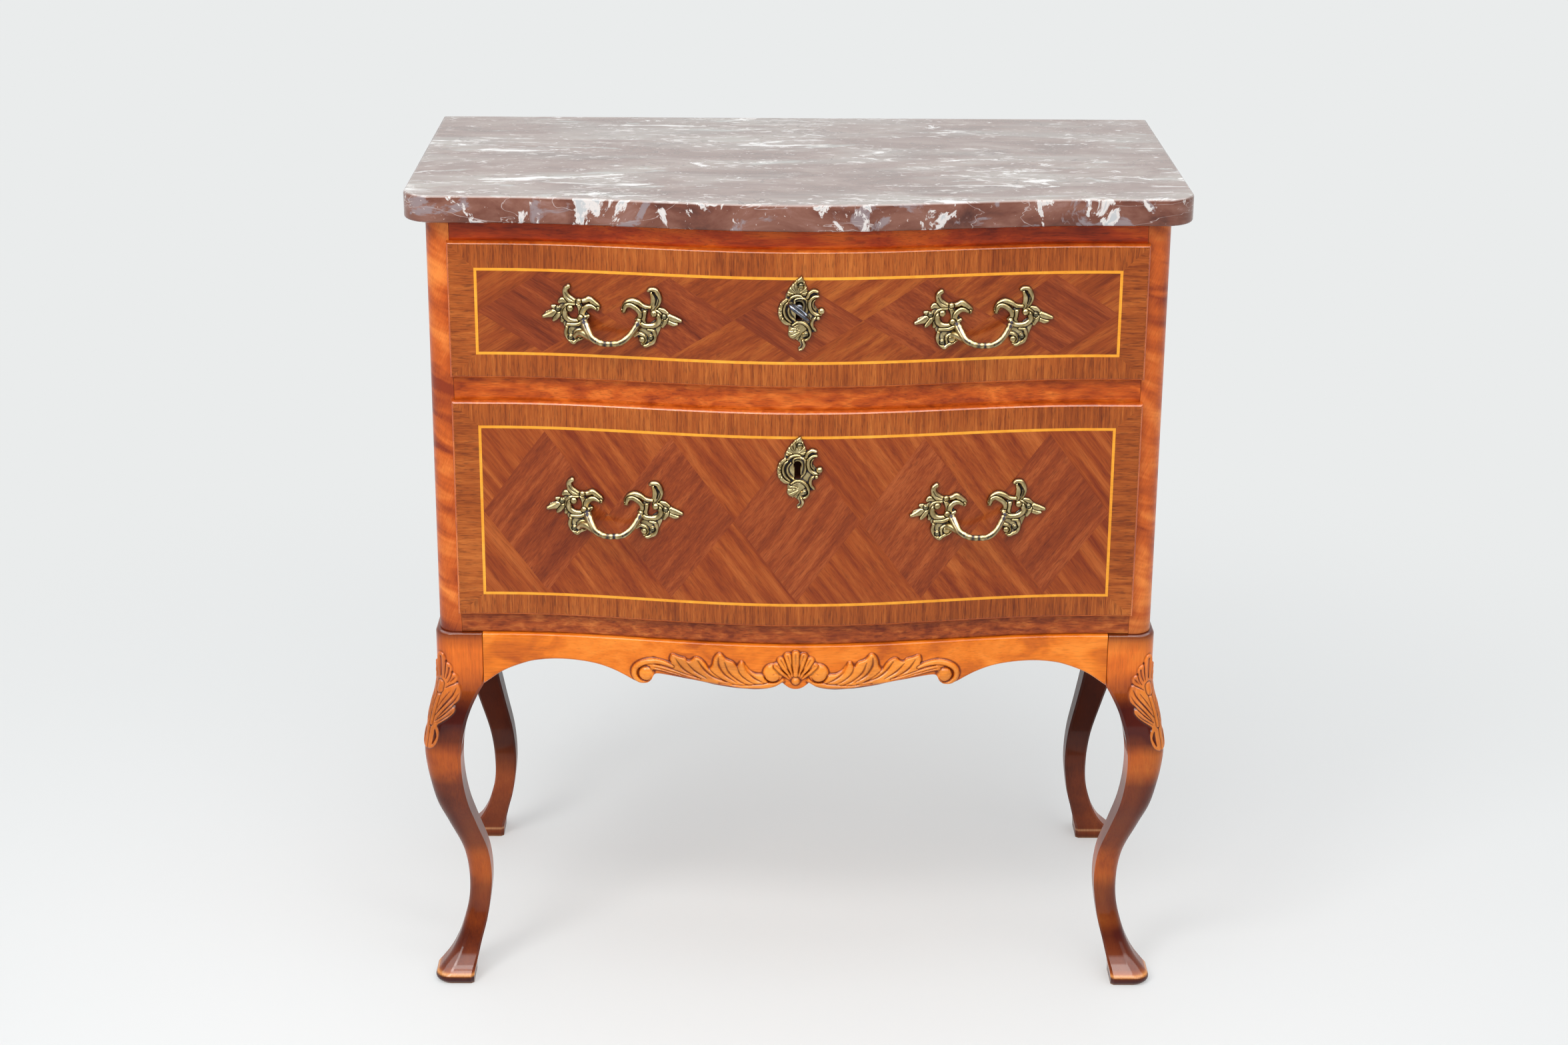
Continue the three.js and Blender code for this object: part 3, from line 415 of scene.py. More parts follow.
def castMesh(field, base, depth):
    # The field trimmed to its strokes: a relief face, walls round it and a flat back. The grid's first
    # index runs along x. Returns points as (x, distance from the back, z), faces and the dark recesses.
    x, z, cover = field["x"], field["z"], field["cover"]
    step = x[1, 0] - x[0, 0]
    height = base + np.maximum(field["height"], -0.6 * base)
    corners = (cover[:-1, :-1] + cover[1:, :-1] + cover[:-1, 1:] + cover[1:, 1:]) / 4
    solid = keepOneBody(corners > 0)
    around = np.pad(solid, 1)
    full = around[:-1, :-1] & around[1:, :-1] & around[:-1, 1:] & around[1:, 1:]
    used = around[:-1, :-1] | around[1:, :-1] | around[:-1, 1:] | around[1:, 1:]
    rim = used & ~full
    # the rim's points move off the grid onto the strokes' own outline, and sit a little lower
    slopeX, slopeZ = np.gradient(cover, step)
    steep = np.maximum(slopeX ** 2 + slopeZ ** 2, 0.3)
    shift = np.where(rim, np.clip(-cover, -0.75 * step, 0.75 * step) / steep, 0)
    x, z = x + shift * slopeX, z + shift * slopeZ
    height = np.where(rim, np.minimum(height, 0.75 * base), height)
    dark = recess(height, max(1, int(1.6 / step)), depth)
    ids = np.arange(x.size).reshape(x.shape)
    i, j = np.nonzero(solid)
    front = np.stack([ids[i, j], ids[i + 1, j], ids[i + 1, j + 1], ids[i, j + 1]], 1)
    back = front[:, ::-1] + x.size
    walls = []
    # each neighbour of a cell, and the two corners that the cell shares with it
    for (di, dj), a, b in (((0, -1), (0, 0), (1, 0)), ((1, 0), (1, 0), (1, 1)),
                           ((0, 1), (1, 1), (0, 1)), ((-1, 0), (0, 1), (0, 0))):
        bare = ~around[i + 1 + di, j + 1 + dj]
        p = ids[i[bare] + a[0], j[bare] + a[1]]
        q = ids[i[bare] + b[0], j[bare] + b[1]]
        walls.append(np.stack([q, p, p + x.size, q + x.size], 1))
    keep, faces = np.unique(np.vstack([front, back] + walls), return_inverse=True)
    out = np.concatenate([height.ravel(), np.zeros(x.size)])
    points = np.stack([np.tile(x.ravel(), 2), out, np.tile(z.ravel(), 2)], 1)
    return points[keep], faces.reshape(-1, 4).tolist(), np.tile(dark.ravel(), 2)[keep]


# Finishes

# What a wood has unless its own entry says otherwise. Sizes are in metres, (across, across, along).
plainWood = {
    "coat": 0.28, "roughness": 0.42, "turn": (0, 0, 0), "pore": (0.0016, 0.0016, 0.045),
    "figure": (0.03, 0.03, 0.012), "twist": 1.2, "weights": (0.55, 0.75, 0.6), "pitted": 0.35,
    "stainAndShade": "#74484E", "wearAndHighlight": "#D9A071",
}
still = (0, 0, 0)


def layNoises(tree, patterns):
    # Noises stretched to real sizes: size, detail, roughness, distortion, turn and shift of each
    place = addNode(tree, "TexCoord").outputs["Object"]
    noises = {}
    for name, (size, detail, roughness, distortion, turn, shift) in patterns.items():
        stretched = addNode(tree, "Mapping", {"vector_type": "TEXTURE", "Scale": size, "Rotation": turn,
                                              "Location": shift}, {"Vector": place})
        noises[name] = addNode(tree, "TexNoise", {"Scale": 1, "Detail": detail, "Roughness": roughness,
                                                  "Distortion": distortion}, {"Vector": stretched})
    return noises


def polishedWood(name, look):
    # Stained hardwood under old shellac polish: fine pores along the grain, cross figure that shimmers in
    # soft flames, cloudy stain, a coat that shows the windows
    look = {**plainWood, **look}
    material, tree, shader = newMaterial(name, {"IOR": 1.5, "Specular IOR Level": 0.12,
                                                "Coat Roughness": 0.07, "Coat Weight": look["coat"]})
    turn = [math.radians(a) for a in look["turn"]]
    noises = layNoises(tree, {
        "pores": (look["pore"], 7, 0.7, 0, turn, still),
        "flame": (look["figure"], 3, 0.5, look["twist"], turn, still),
        "cloud": ((0.11, 0.11, 0.11), 4, 0.55, 0, still, still),
        # open pores, filled dark: short and thin, drawn a little coarser than real so that they show
        "specks": ((0.0009, 0.0009, 0.011), 2, 0.5, 0, turn, still),
    })
    total = None
    for source, weight in zip(("pores", "flame", "cloud"), look["weights"]):
        settings = {"operation": "MULTIPLY_ADD", 1: weight, 2: 0.5 - sum(look["weights"]) / 2}
        links = {0: noises[source], 2: total} if total else {0: noises[source]}
        total = addNode(tree, "Math", settings, links)
    colour = addRamp(tree, total, list(zip((0.3, 0.5, 0.7), look["colours"])))
    pitted = addNode(tree, "MapRange", {"From Min": 0.54, "From Max": 0.65, "To Max": look["pitted"]},
                     {"Value": noises["specks"]})
    colour = addNode(tree, "Mix", {"data_type": "RGBA", 7: linear("#3C170A")}, {0: pitted, 6: colour})
    # Darker stain and painted shade, and paler rubbed-through places and painted highlights: both masks come
    # with the mesh
    for label, way, source, ragged in (("stainAndShade", "MULTIPLY", "cloud", 0.5), ("wearAndHighlight", "MIX", "pores", 1.6)):
        amount = addNode(tree, "Attribute", {"attribute_name": label}).outputs["Fac"]
        uneven = addNode(tree, "Math", {"operation": "MULTIPLY_ADD", 1: ragged, 2: -0.5 * ragged},
                         {0: noises[source]})
        raised = addNode(tree, "Math", {"operation": "MULTIPLY_ADD"}, {0: uneven, 1: amount, 2: amount})
        limited = addNode(tree, "Clamp", {}, {"Value": raised})
        colour = addNode(tree, "Mix", {"data_type": "RGBA", "blend_type": way, 7: linear(look[label])},
                         {0: limited, 6: colour.outputs[2]})
    tree.links.new(colour.outputs[2], shader.inputs["Base Color"])
    rough = addNode(tree, "Math", {"operation": "MULTIPLY_ADD", 1: 0.25, 2: look["roughness"] - 0.12},
                    {0: noises["cloud"]})
    tree.links.new(rough.outputs[0], shader.inputs["Roughness"])
    bump = addNode(tree, "Bump", {"Strength": 0.12, "Distance": 0.0003}, {"Height": noises["pores"]})
    tree.links.new(bump.outputs[0], shader.inputs["Normal"])
    return material


woods = {
    "birch": {"colours": ("#822C06", "#C05816", "#E48236"), "turn": (0, 22, 0), "figure": (0.09, 0.09, 0.02),
              "weights": (0.25, 1.0, 0.5), "twist": 0.6, "pitted": 0.12, "coat": 0.42},
    "side": {"colours": ("#A2481A", "#C4642A", "#DC8B4E"), "figure": (0.013, 0.013, 0.3), "twist": 0.5,
             "weights": (0.5, 0.55, 0.5), "pitted": 0.2, "coat": 0.5},
    "frame": {"colours": ("#A4420A", "#DC6A12", "#F08628"), "figure": (0.05, 0.05, 0.09), "coat": 0.5,
              "weights": (0.3, 0.5, 0.7), "pitted": 0.15, "wearAndHighlight": "#EEA65A", "stainAndShade": "#502A2E"},
    "frameAcross": {"colours": ("#AE4E08", "#DA7010", "#EE882A"), "turn": (0, 90, 0), "coat": 0.42,
                    "figure": (0.03, 0.03, 0.05), "weights": (0.35, 0.7, 0.8), "pitted": 0.15,
                    "wearAndHighlight": "#F6AE4E"},
    # back legs and back apron: the frame's wood painted darker, as painted shade under the chest
    "backLegShaded": {"colours": ("#5E2814", "#8C3E1A", "#AC5626"), "figure": (0.06, 0.06, 0.09),
                "weights": (0.25, 0.4, 0.6), "pitted": 0.15, "stainAndShade": "#533A42"},
    "topRail": {"colours": ("#7E2404", "#AC3A08", "#CE5C14"), "turn": (0, 90, 0), "twist": 0.5,
                "figure": (0.012, 0.012, 0.06), "weights": (0.35, 0.8, 0.8)},
    "middleRail": {"colours": ("#8A3206", "#B65010", "#D46E24"), "turn": (0, 90, 0), "twist": 0.4,
                   "figure": (0.008, 0.008, 0.022), "weights": (0.35, 0.8, 0.7)},
    "bottomRail": {"colours": ("#6E2A0F", "#9A4719", "#BE6A2E"), "turn": (0, 90, 0), "twist": 0.5,
                   "figure": (0.006, 0.006, 0.014), "weights": (0.5, 0.7, 0.5), "pitted": 0.4},
    # near black for the walls of cut holes: painted shade inside the keyholes and the lock recesses
    "shadedCutWood": {"colours": ("#2A120A", "#3A1A0E", "#4A2415"), "coat": 0, "roughness": 0.7, "pitted": 0.1},
}
for name, turn, colours in (("pine", (90, 0, 0), ("#B98A5C", "#D0A677", "#DFBE93")),
                            ("pineAcross", (0, 90, 0), ("#BE8A58", "#D6A574", "#E2BA8E"))):
    # the unstained boards inside and at the back
    woods[name] = {"colours": colours, "turn": turn, "coat": 0, "roughness": 0.6, "twist": 0.3,
                   "figure": (0.006, 0.006, 0.3), "weights": (0.6, 0.6, 0.3), "pitted": 0.12}
finishes = {name: polishedWood(name + "Wood", look) for name, look in woods.items()}


def greyBrownMarble():
    # Polished brown marble: chalky ragged patches, mauve clouds, hair-thin dark and pale veins. The slab's
    # edge shows its layers cut across, its top shows them as long lenses and streaks.
    material, tree, shader = newMaterial("polishedMarble", {
        "Roughness": 0.2, "IOR": 1.5, "Specular IOR Level": 0.4,
        "Coat Weight": 0.12, "Coat Roughness": 0.06})
    sizes = {
        "ground": ((0.06, 0.05, 0.03), 7, 0.62, 0.5), "cloud": ((0.05, 0.04, 0.04), 7, 0.6, 0.8),
        "patch": ((0.03, 0.03, 0.04), 8, 0.62, 0.7), "speck": ((0.004, 0.004, 0.004), 3, 0.6, 0.3),
        "vein": ((0.12, 0.05, 0.04), 4, 0.5, 0.7), "bed": ((0.12, 0.05, 0.05), 7, 0.62, 0.7),
        "lens": ((0.09, 0.036, 0.05), 10, 0.7, 1.2), "streak": ((0.025, 0.01, 0.02), 7, 0.66, 1.1),
        "grit": ((0.011, 0.0035, 0.01), 4, 0.6, 0.3), "drift": ((0.2, 0.06, 0.1), 3, 0.5, 0.5),
        "oval": ((0.09, 0.03, 0.05), 6, 0.6, 0.6),
    }
    noises = layNoises(tree, {name: (*look, still, (0.013 * i, 0.02, 0.007))
                              for i, (name, look) in enumerate(sizes.items())})

    def layer(current, name, low, high, tint, strength):
        # Lays a colour where a noise is high
        mask = addNode(tree, "MapRange", {"From Min": low, "From Max": high, "To Max": strength},
                       {"Value": noises[name]})
        mix = addNode(tree, "Mix", {"data_type": "RGBA", 7: linear(tint)}, {0: mask, 6: current})
        return mix.outputs[2]

    def hairline(current, width, tint):
        # Lays a thin vein where a noise crosses its middle
        near = addNode(tree, "Math", {"operation": "COMPARE", 1: 0.5, 2: width}, {0: noises["vein"]})
        mask = addNode(tree, "Math", {"operation": "MULTIPLY", 1: 0.6}, {0: near})
        mix = addNode(tree, "Mix", {"data_type": "RGBA", 7: linear(tint)}, {0: mask, 6: current})
        return mix.outputs[2]

    tones = [(0.3, "#44211A"), (0.45, "#673A2C"), (0.58, "#7B5042"), (0.74, "#927068")]
    edge = addRamp(tree, noises["ground"], tones)
    edge = layer(edge, "cloud", 0.56, 0.6, "#8A8084", 0.7)
    edge = hairline(edge, 0.003, "#B7A9A6")
    edge = layer(edge, "patch", 0.58, 0.6, "#D0CAC7", 0.95)
    edge = layer(edge, "patch", 0.625, 0.645, "#ABADB0", 0.9)
    edge = layer(edge, "speck", 0.68, 0.72, "#CDBDB6", 0.7)
    tones = [(0.3, "#6E5B55"), (0.48, "#86716A"), (0.6, "#96867F"), (0.72, "#A29A92")]
    bed = addRamp(tree, noises["bed"], tones)
    bed = layer(bed, "drift", 0.46, 0.62, "#A5A29D", 0.5)
    bed = layer(bed, "oval", 0.62, 0.66, "#B0B3AF", 0.55)
    bed = hairline(bed, 0.0035, "#6D605C")
    for name, weight in (("lens", 0.3), ("streak", 0.35)):
        drift = addNode(tree, "Math", {"operation": "MULTIPLY_ADD", 1: weight, 2: -0.5 * weight},
                        {0: noises["drift"]})
        noises[name] = addNode(tree, "Math", {"operation": "ADD"}, {0: noises[name], 1: drift})
    bed = layer(bed, "streak", 0.58, 0.65, "#D4CECB", 0.85)
    bed = layer(bed, "lens", 0.6, 0.64, "#E6E4E3", 0.95)
    bed = layer(bed, "grit", 0.66, 0.7, "#E0DCDA", 0.7)
    # the top takes the paler, greyer bed colours: partly the stone's own bedding, partly a painted
    # reflection of the pale room
    top = addNode(tree, "Attribute", {"attribute_name": "topFace"})
    mixed = addNode(tree, "Mix", {"data_type": "RGBA"}, {0: top.outputs["Fac"], 6: edge, 7: bed})
    tree.links.new(mixed.outputs[2], shader.inputs["Base Color"])
    return material


def castBrass(name, tones):
    # Lacquered cast brass, aged: rubbed bright on the ridges, blue-black and brown in the hollows
    material, tree, shader = newMaterial(name, {"Metallic": 1, "Roughness": 0.3})
    place = addNode(tree, "TexCoord").outputs["Object"]
    cloud = addNode(tree, "TexNoise", {"Scale": 160, "Detail": 4}, {"Vector": place})
    bright = addRamp(tree, cloud, list(zip((0.3, 0.55, 0.75), tones)))
    hollow = addNode(tree, "Attribute", {"attribute_name": "recess"}).outputs["Fac"]
    soiled = addNode(tree, "Math", {"operation": "MULTIPLY_ADD", 1: 0.5}, {0: cloud, 2: hollow})
    mask = addNode(tree, "MapRange", {"From Min": 0.48, "From Max": 0.95}, {"Value": soiled})
    mixed = addNode(tree, "Mix", {"data_type": "RGBA", 7: linear("#35323A")}, {0: mask, 6: bright})
    tree.links.new(mixed.outputs[2], shader.inputs["Base Color"])
    rough = addNode(tree, "MapRange", {"To Min": 0.3, "To Max": 0.5}, {"Value": mask})
    tree.links.new(rough.outputs[0], shader.inputs["Roughness"])
    bump = addNode(tree, "Bump", {"Strength": 0.15, "Distance": 0.0002}, {"Height": cloud})
    tree.links.new(bump.outputs[0], shader.inputs["Normal"])
    return material


def darkSteel():
    # Old blued steel of the locks and the key: dark, with brown rust bloom and a dull shine
    material, tree, shader = newMaterial("darkSteel", {"Metallic": 1, "Roughness": 0.4})
    place = addNode(tree, "TexCoord").outputs["Object"]
    bloom = addNode(tree, "TexNoise", {"Scale": 220, "Detail": 6, "Roughness": 0.65}, {"Vector": place})
    tone = addRamp(tree, bloom, [(0.35, "#3C3F47"), (0.55, "#666A73"), (0.7, "#7C756D")])
    tree.links.new(tone.outputs[0], shader.inputs["Base Color"])
    rough = addNode(tree, "MapRange", {"To Min": 0.08, "To Max": 0.42}, {"Value": bloom})
    tree.links.new(rough.outputs[0], shader.inputs["Roughness"])
    return material


finishes["marble"] = greyBrownMarble()
finishes["brass"] = castBrass("castBrass", ("#99865D", "#B9A679", "#DCCB9E"))
finishes["nailBrass"] = castBrass("tarnishedBrass", ("#5E5846", "#7C745A", "#9A9274"))
finishes["steel"] = darkSteel()
print("finishes", len(finishes))

# Slab

slab = {"half": 375, "front": -384, "low": 809, "high": 835, "corner": 30, "edge": 2.5}


def makeSlab():
    turns = np.radians(np.linspace(180, 270, 15))
    left = slab["corner"] * np.stack([np.cos(turns), np.sin(turns)], 1)
    left += [slab["corner"] - slab["half"], slab["corner"] + slab["front"]]
    x = np.linspace(-slab["half"] + slab["corner"] + 3, slab["half"] - slab["corner"] - 3, 171)
    middle = np.stack([x, slab["front"] - bow(x)], 1)
    right = left[::-1] * [-1, 1]
    outline = np.vstack([[-slab["half"], 0], left, middle, right, [slab["half"], 0]])
    before, after = np.roll(outline, 1, 0), np.roll(outline, -1, 0)
    run = after - before
    run /= np.linalg.norm(run, axis=1)[:, None]
    inward = np.stack([-run[:, 1], run[:, 0]], 1)
    inward[0], inward[-1] = (1, -1), (-1, -1)
    radius = slab["edge"]
    steps = [(4, 0), (radius, 0)]
    for angle in np.radians(np.arange(15, 91, 15)):
        steps.append((radius * (1 - math.sin(angle)), radius * (1 - math.cos(angle))))
    thick = slab["high"] - slab["low"]
    steps += [(inset, thick - height) for inset, height in steps[::-1]]
    rings = np.array([np.column_stack([outline + inset * inward, np.full(len(outline), slab["low"] + rise)])
                      for inset, rise in steps])
    points, faces = loft(rings)
    top = np.clip((points[:, 2] - slab["high"] + radius) / radius, 0, 1) ** 2
    piece = makePiece("marbleTop", points, faces, [finishes["marble"]], 40, {"topFace": top})
    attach(piece, "case")
    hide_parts("marble_top")


makeSlab()
print("slab")

# Posts and rails of the case

case = {
    "low": 388.6, "high": 808.7, "front": -365, "round": 18, "postHalf": 356, "postInner": 332.4,
    "railHalf": 332.1, "railBack": -335, "railSoft": 1.2,
    "rails": {"bottom_rail": (388.6, 412, "bottomRail"), "middle_rail": (628, 656.5, "middleRail"),
              "top_rail": (786, 808.7, "topRail")},
    # corners of the slot for a lock's bolt, its heights from the rail's lower face
    "mortise": ((-9.2, -391.8, -5), (9.2, -385.4, 10)),
}


def makePosts():
    inner, back, front, soft = case["postInner"], case["railBack"], case["front"], case["round"]
    for side, name in ((-1, "left_front_post"), (1, "right_front_post")):
        turns = np.radians(np.linspace(270, 360, 19))
        arc = soft * np.stack([np.cos(turns), np.sin(turns)], 1) + [case["postHalf"] - soft, front + soft]
        plan = np.vstack([[(inner, back), (inner, front), (inner + 2, front)], arc,
                          [(case["postHalf"], back - 6), (case["postHalf"], back)]])
        levels = np.linspace(case["low"], case["high"], 22)
        rings = [np.column_stack([plan * [side, 1], np.full(len(plan), z)]) for z in levels]
        points, faces = loft(np.array(rings))
        darkFoot = 0.35 * np.clip((case["low"] + 30 - points[:, 2]) / 30, 0, 1)
        piece = makePiece(name + "Polished", points, faces, [finishes["birch"]], 35, {"stainAndShade": darkFoot})
        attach(piece, "case")
        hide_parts(name)


def makeRails():
    half, back, front, soft = case["railHalf"], case["railBack"], case["front"], case["railSoft"]
    bend = soft * 0.3
    x = np.concatenate([[-half], np.linspace(-328, 328, 165), [half]])
    for name, (low, high, finish) in case["rails"].items():
        rows = [(back, low), (front + soft, low), (front + bend, low + bend), (front, low + soft)]
        rows += [(front, z) for z in np.linspace(low + soft, high - soft, 5)[1:]]
        rows += [(front + bend, high - bend), (front + soft, high), (back, high)]
        rings = [[(at, y - (bow(at) if y < back else 0), z) for y, z in rows] for at in x]
        points, faces = loft(np.array(rings))
        piece = makePiece(name + "Polished", points, faces, [finishes[finish]], 35)
        if name != "bottom_rail":
            cutBoxes(piece, [np.array(case["mortise"]) + [0, 0, low]])
        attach(piece, "case")
        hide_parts(name)


makePosts()
makeRails()
print("posts and rails")

# Leg frame

leg = {
    "block": 47.7, "height": 388.6, "topRound": 3.4,
    # rounding of the corners as a share of the width: the outer one, and the inner ones by height
    "outerRound": 0.4, "innerRound": ((0, 325, 345, 389), (0.08, 0.08, 0.012, 0.012)),
    # share of the height, outer face beyond the block, inner face from the block's outer face
    "profile": [(0, 0.17, 0.608), (0.008, 0.225, 0.608), (0.02, 0.235, 0.612), (0.034, 0.14, 0.625),
                (0.059, -0.035, 0.677), (0.097, -0.214, 0.75), (0.153, -0.375, 0.87),
                (0.2, -0.465, 0.935), (0.269, -0.493, 0.99), (0.35, -0.413, 0.945), (0.45, -0.13, 0.735),
                (0.52, 0.08, 0.59), (0.58, 0.185, 0.515), (0.63, 0.25, 0.49), (0.682, 0.283, 0.505),
                (0.74, 0.22, 0.59), (0.8, 0.113, 0.755), (0.835, 0.03, 0.9), (0.857, 0, 1), (1, 0, 1)],
    "plainFrom": 0.857,
    # height and depth of the darker bands on the front legs, and of the painted shade on the back legs under
    # the chest
    "shades": [(0, 1.25), (7, 1.25), (10, 0.6), (16, 0.9), (48, 0.98), (60, 0.8), (76, 0.88), (96, 0.85),
               (112, 0.58), (132, 0.6), (148, 0.88), (190, 0.96), (226, 0.9), (246, 0.5), (262, 0.5),
               (276, 0.98), (300, 1.2), (316, 1.0), (336, 0.4), (352, 0.12), (370, 0.1), (380, 0.4),
               (388.3, 0.95)],
    "backShades": [(0, 0.9), (6, 0.3), (40, 0.3), (80, 0.12), (104, 0.6), (125, 0.92), (200, 0.95),
                   (388, 0.7)],
}

# The knee's carving: its outline as distance from the corner line and height, then strokes on it as
# points, widths, height and section
kneeOutline = [
    (-6, 366), (0, 366.3), (3.4, 365.2), (5.8, 361.5), (6.2, 357), (8.4, 356.2), (11.2, 354.4),
    (12.8, 350.5), (12.2, 346), (14.8, 345.2), (17.4, 342.8), (18.2, 339.2), (16.6, 335.8), (18.6, 333.4),
    (21.4, 329), (22.8, 323), (22.6, 317), (19, 312.6), (21.6, 309.8), (21.6, 305.6), (17.5, 300.5),
    (11, 295.5), (7.5, 292), (10.2, 287), (10.9, 280), (9.2, 273), (5.4, 268.8), (0, 267.4), (-6, 267),
]
kneeStrokes = [
    ([(0, 341), (0, 352), (0, 361.5)], (2.4, 6, 4.4), 1.4, "cut"),
    ([(6, 338.5), (8.6, 345), (9.8, 351)], (1.6, 3.8, 3), 1.4, "cut"),
    ([(10, 335.5), (13, 338.6), (15.4, 341.2)], (1.4, 3.2, 2.4), 1.3, "cut"),
    ([(4, 339), (5.6, 348), (6.4, 358)], (1, 1.6, 1.6), 1.8, "cut"),
    ([(7.6, 334.5), (10.8, 340), (12.6, 346.5)], (1, 1.6, 1.6), 1.8, "cut"),
    ([(6, 329), (11, 332.4), (17.4, 335.6)], (1, 1.6, 1.6), 1.8, "cut"),
    ([(3.4, 309), (6.8, 318), (11, 326)], (1, 2.4, 1.2), 1.2, "cut"),
    ([(3, 302), (9, 312.5), (14.4, 321.5), (17, 330)], (1, 2.8, 3, 1.4), 1.4, "cut"),
    ([(5.4, 299.6), (12, 309), (17.8, 316.6), (20.4, 324)], (1, 2.4, 2.6, 1.2), 1.4, "cut"),
    ([(4, 296.6), (11, 303), (19.4, 312.4)], (1, 1.5, 1.5), 1.8, "cut"),
    ([(5.4, 294.4), (11, 298.6), (16.6, 303), (19.8, 307.4)], (1, 2.2, 2.2, 1), 1.2, "cut"),
    ([(0, 325), (0, 308), (0, 293)], (5, 4.4, 4), 2.3, "round"),
    ([(0, 327), (0, 333)], (8.4, 8.4), 3.3, "round"),
    ([(5.6, 288), (6.9, 281), (5.2, 273)], (1.2, 4.4, 1.2), 2, "cut"),
    ([(0, 291), (0, 281), (0, 268)], (1.6, 1.2, 1.6), 1.4, "cut"),
]


def legRings(levels, spacing):
    # Rings of a leg, as distances outwards from its block's two outer faces: along one outer face, round
    # the corner and along the other, then home along the inner ones. With them come each outer point's
    # distance from the corner line and its direction outwards.
    shares = np.array(leg["profile"])
    at = levels / leg["height"]
    outer = np.where(at > leg["plainFrom"], 0, curveValue(at, shares[:, 0], shares[:, 1])) * leg["block"]
    inner = -np.where(at > leg["plainFrom"], 1, curveValue(at, shares[:, 0], shares[:, 2])) * leg["block"]
    up = np.clip(levels - (chest["frameTop"] - leg["topRound"]), 0, leg["topRound"])
    outer = outer - (leg["topRound"] - np.sqrt(leg["topRound"] ** 2 - up ** 2))
    rings, sides, normals = [], [], []
    for low, high, z in zip(inner, outer, levels):
        width = high - low
        big, small = width * leg["outerRound"], width * np.interp(z, *leg["innerRound"])
        bend = big * math.pi / 4
        half = np.concatenate([np.linspace(0, bend, spacing[0], endpoint=False),
                               bend + np.linspace(0, width - big - small, spacing[1])])
        side = np.concatenate([-half[::-1], half[1:]])
        turned = math.pi / 4 + np.clip(side, -bend, bend) / max(big, 1e-6)
        centre = high - big
        u = np.where(side > bend, centre - (side - bend), centre + big * np.cos(turned))
        v = np.where(side < -bend, centre + (side + bend), centre + big * np.sin(turned))
        u[0], v[0] = high, low + small
        u[-1], v[-1] = low + small, high
        home = []
        for a, b in (((low, high - small), (low, low + small)), ((low, low + small), (low + small, low)),
                     ((low + small, low), (high - small, low))):
            home += [(a[0] + t * (b[0] - a[0]), a[1] + t * (b[1] - a[1])) for t in np.linspace(0, 1, 7)[:-1]]
        home.append((high - small, low))
        rings.append(np.vstack([np.stack([u, v], 1), home]))
        sides.append(side)
        normals.append(np.stack([np.cos(turned), np.sin(turned)], 1))
    return np.array(rings), np.array(sides), np.array(normals)


def makeLegs():
    foot = [0, 1, 2.5, *range(4, 18)]
    soft = leg["topRound"]
    roundedTop = chest["frameTop"] - soft + soft * np.sin(np.radians(np.arange(0, 91, 15)))
    for name, sideX, sideY in (("front_left_leg", -1, -1), ("front_right_leg", 1, -1),
                               ("back_left_leg", -1, 1), ("back_right_leg", 1, 1)):
        front = sideY < 0
        # points are close together where the knee is carved
        knee = [np.arange(18, 262, 4), np.arange(262, 371, 0.5), np.arange(372, 384, 4)]
        shank = knee if front else [np.arange(18, 384, 4)]
        levels = np.concatenate([foot, *shank, roundedTop])
        rings, sides, normals = legRings(levels, (34, 42) if front else (8, 8))
        count = sides.shape[1]
        z = np.repeat(levels[:, None], count, 1)
        stainAndShade, raised = np.zeros(rings.shape[:2]), np.zeros(rings.shape[:2])
        if front:
            field = newField(np.abs(sides), z)
            raiseOutline(field, kneeOutline, 1.8, 1.6, 1.3)
            drawStrokes(field, kneeStrokes, 1.2)
            fade = np.clip((372 - z) / 4, 0, 1) * np.clip((z - 262) / 3, 0, 1)
            height = blurred(field["height"], 1.1) * fade
            rings[:, :count] += normals * height[..., None]
            # painted shade darkens the carving's grooves
            stainAndShade[:, :count] = np.clip(1.4 * recess(height, 3, 0.7) - 0.1, 0, 0.95)
            raised[:, :count] = np.clip((height - 0.7) / 0.7, 0, 1)
        # darker in bands down the leg and along the top of the block, rubbed pale at the foot; on the back
        # legs the darkening is painted shade under the chest; the raised carving stays lighter, rubbed and
        # painted as a highlight
        shade = np.interp(levels, *zip(*leg["shades" if front else "backShades"]))
        nearCorner = np.zeros(rings.shape[1])
        nearCorner[:count] = np.exp(-(np.abs(sides).mean(0) / 17) ** 4)
        stainAndShade = np.maximum(stainAndShade, shade[:, None] * (0.93 + 0.07 * nearCorner) * (1 - 0.65 * raised))
        rubbed = 0.65 * np.exp(-((levels - 10) / 1.3) ** 2) + 0.3 * np.exp(-(levels / 1.5) ** 2)
        wearAndHighlight = rubbed[:, None] + 0.16 * raised
        plan = rings * [sideX, sideY] + [sideX * chest["frameHalf"], chest["frameFront"] if front else 0]
        points, faces = loft(np.concatenate([plan, np.repeat(levels[:, None, None], rings.shape[1], 1)], 2))
        finish = finishes["frame" if front else "backLegShaded"]
        piece = makePiece(name + "Carved", points, faces, [finish], 38, {"stainAndShade": stainAndShade, "wearAndHighlight": wearAndHighlight})
        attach(piece, "case")
        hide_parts(name)


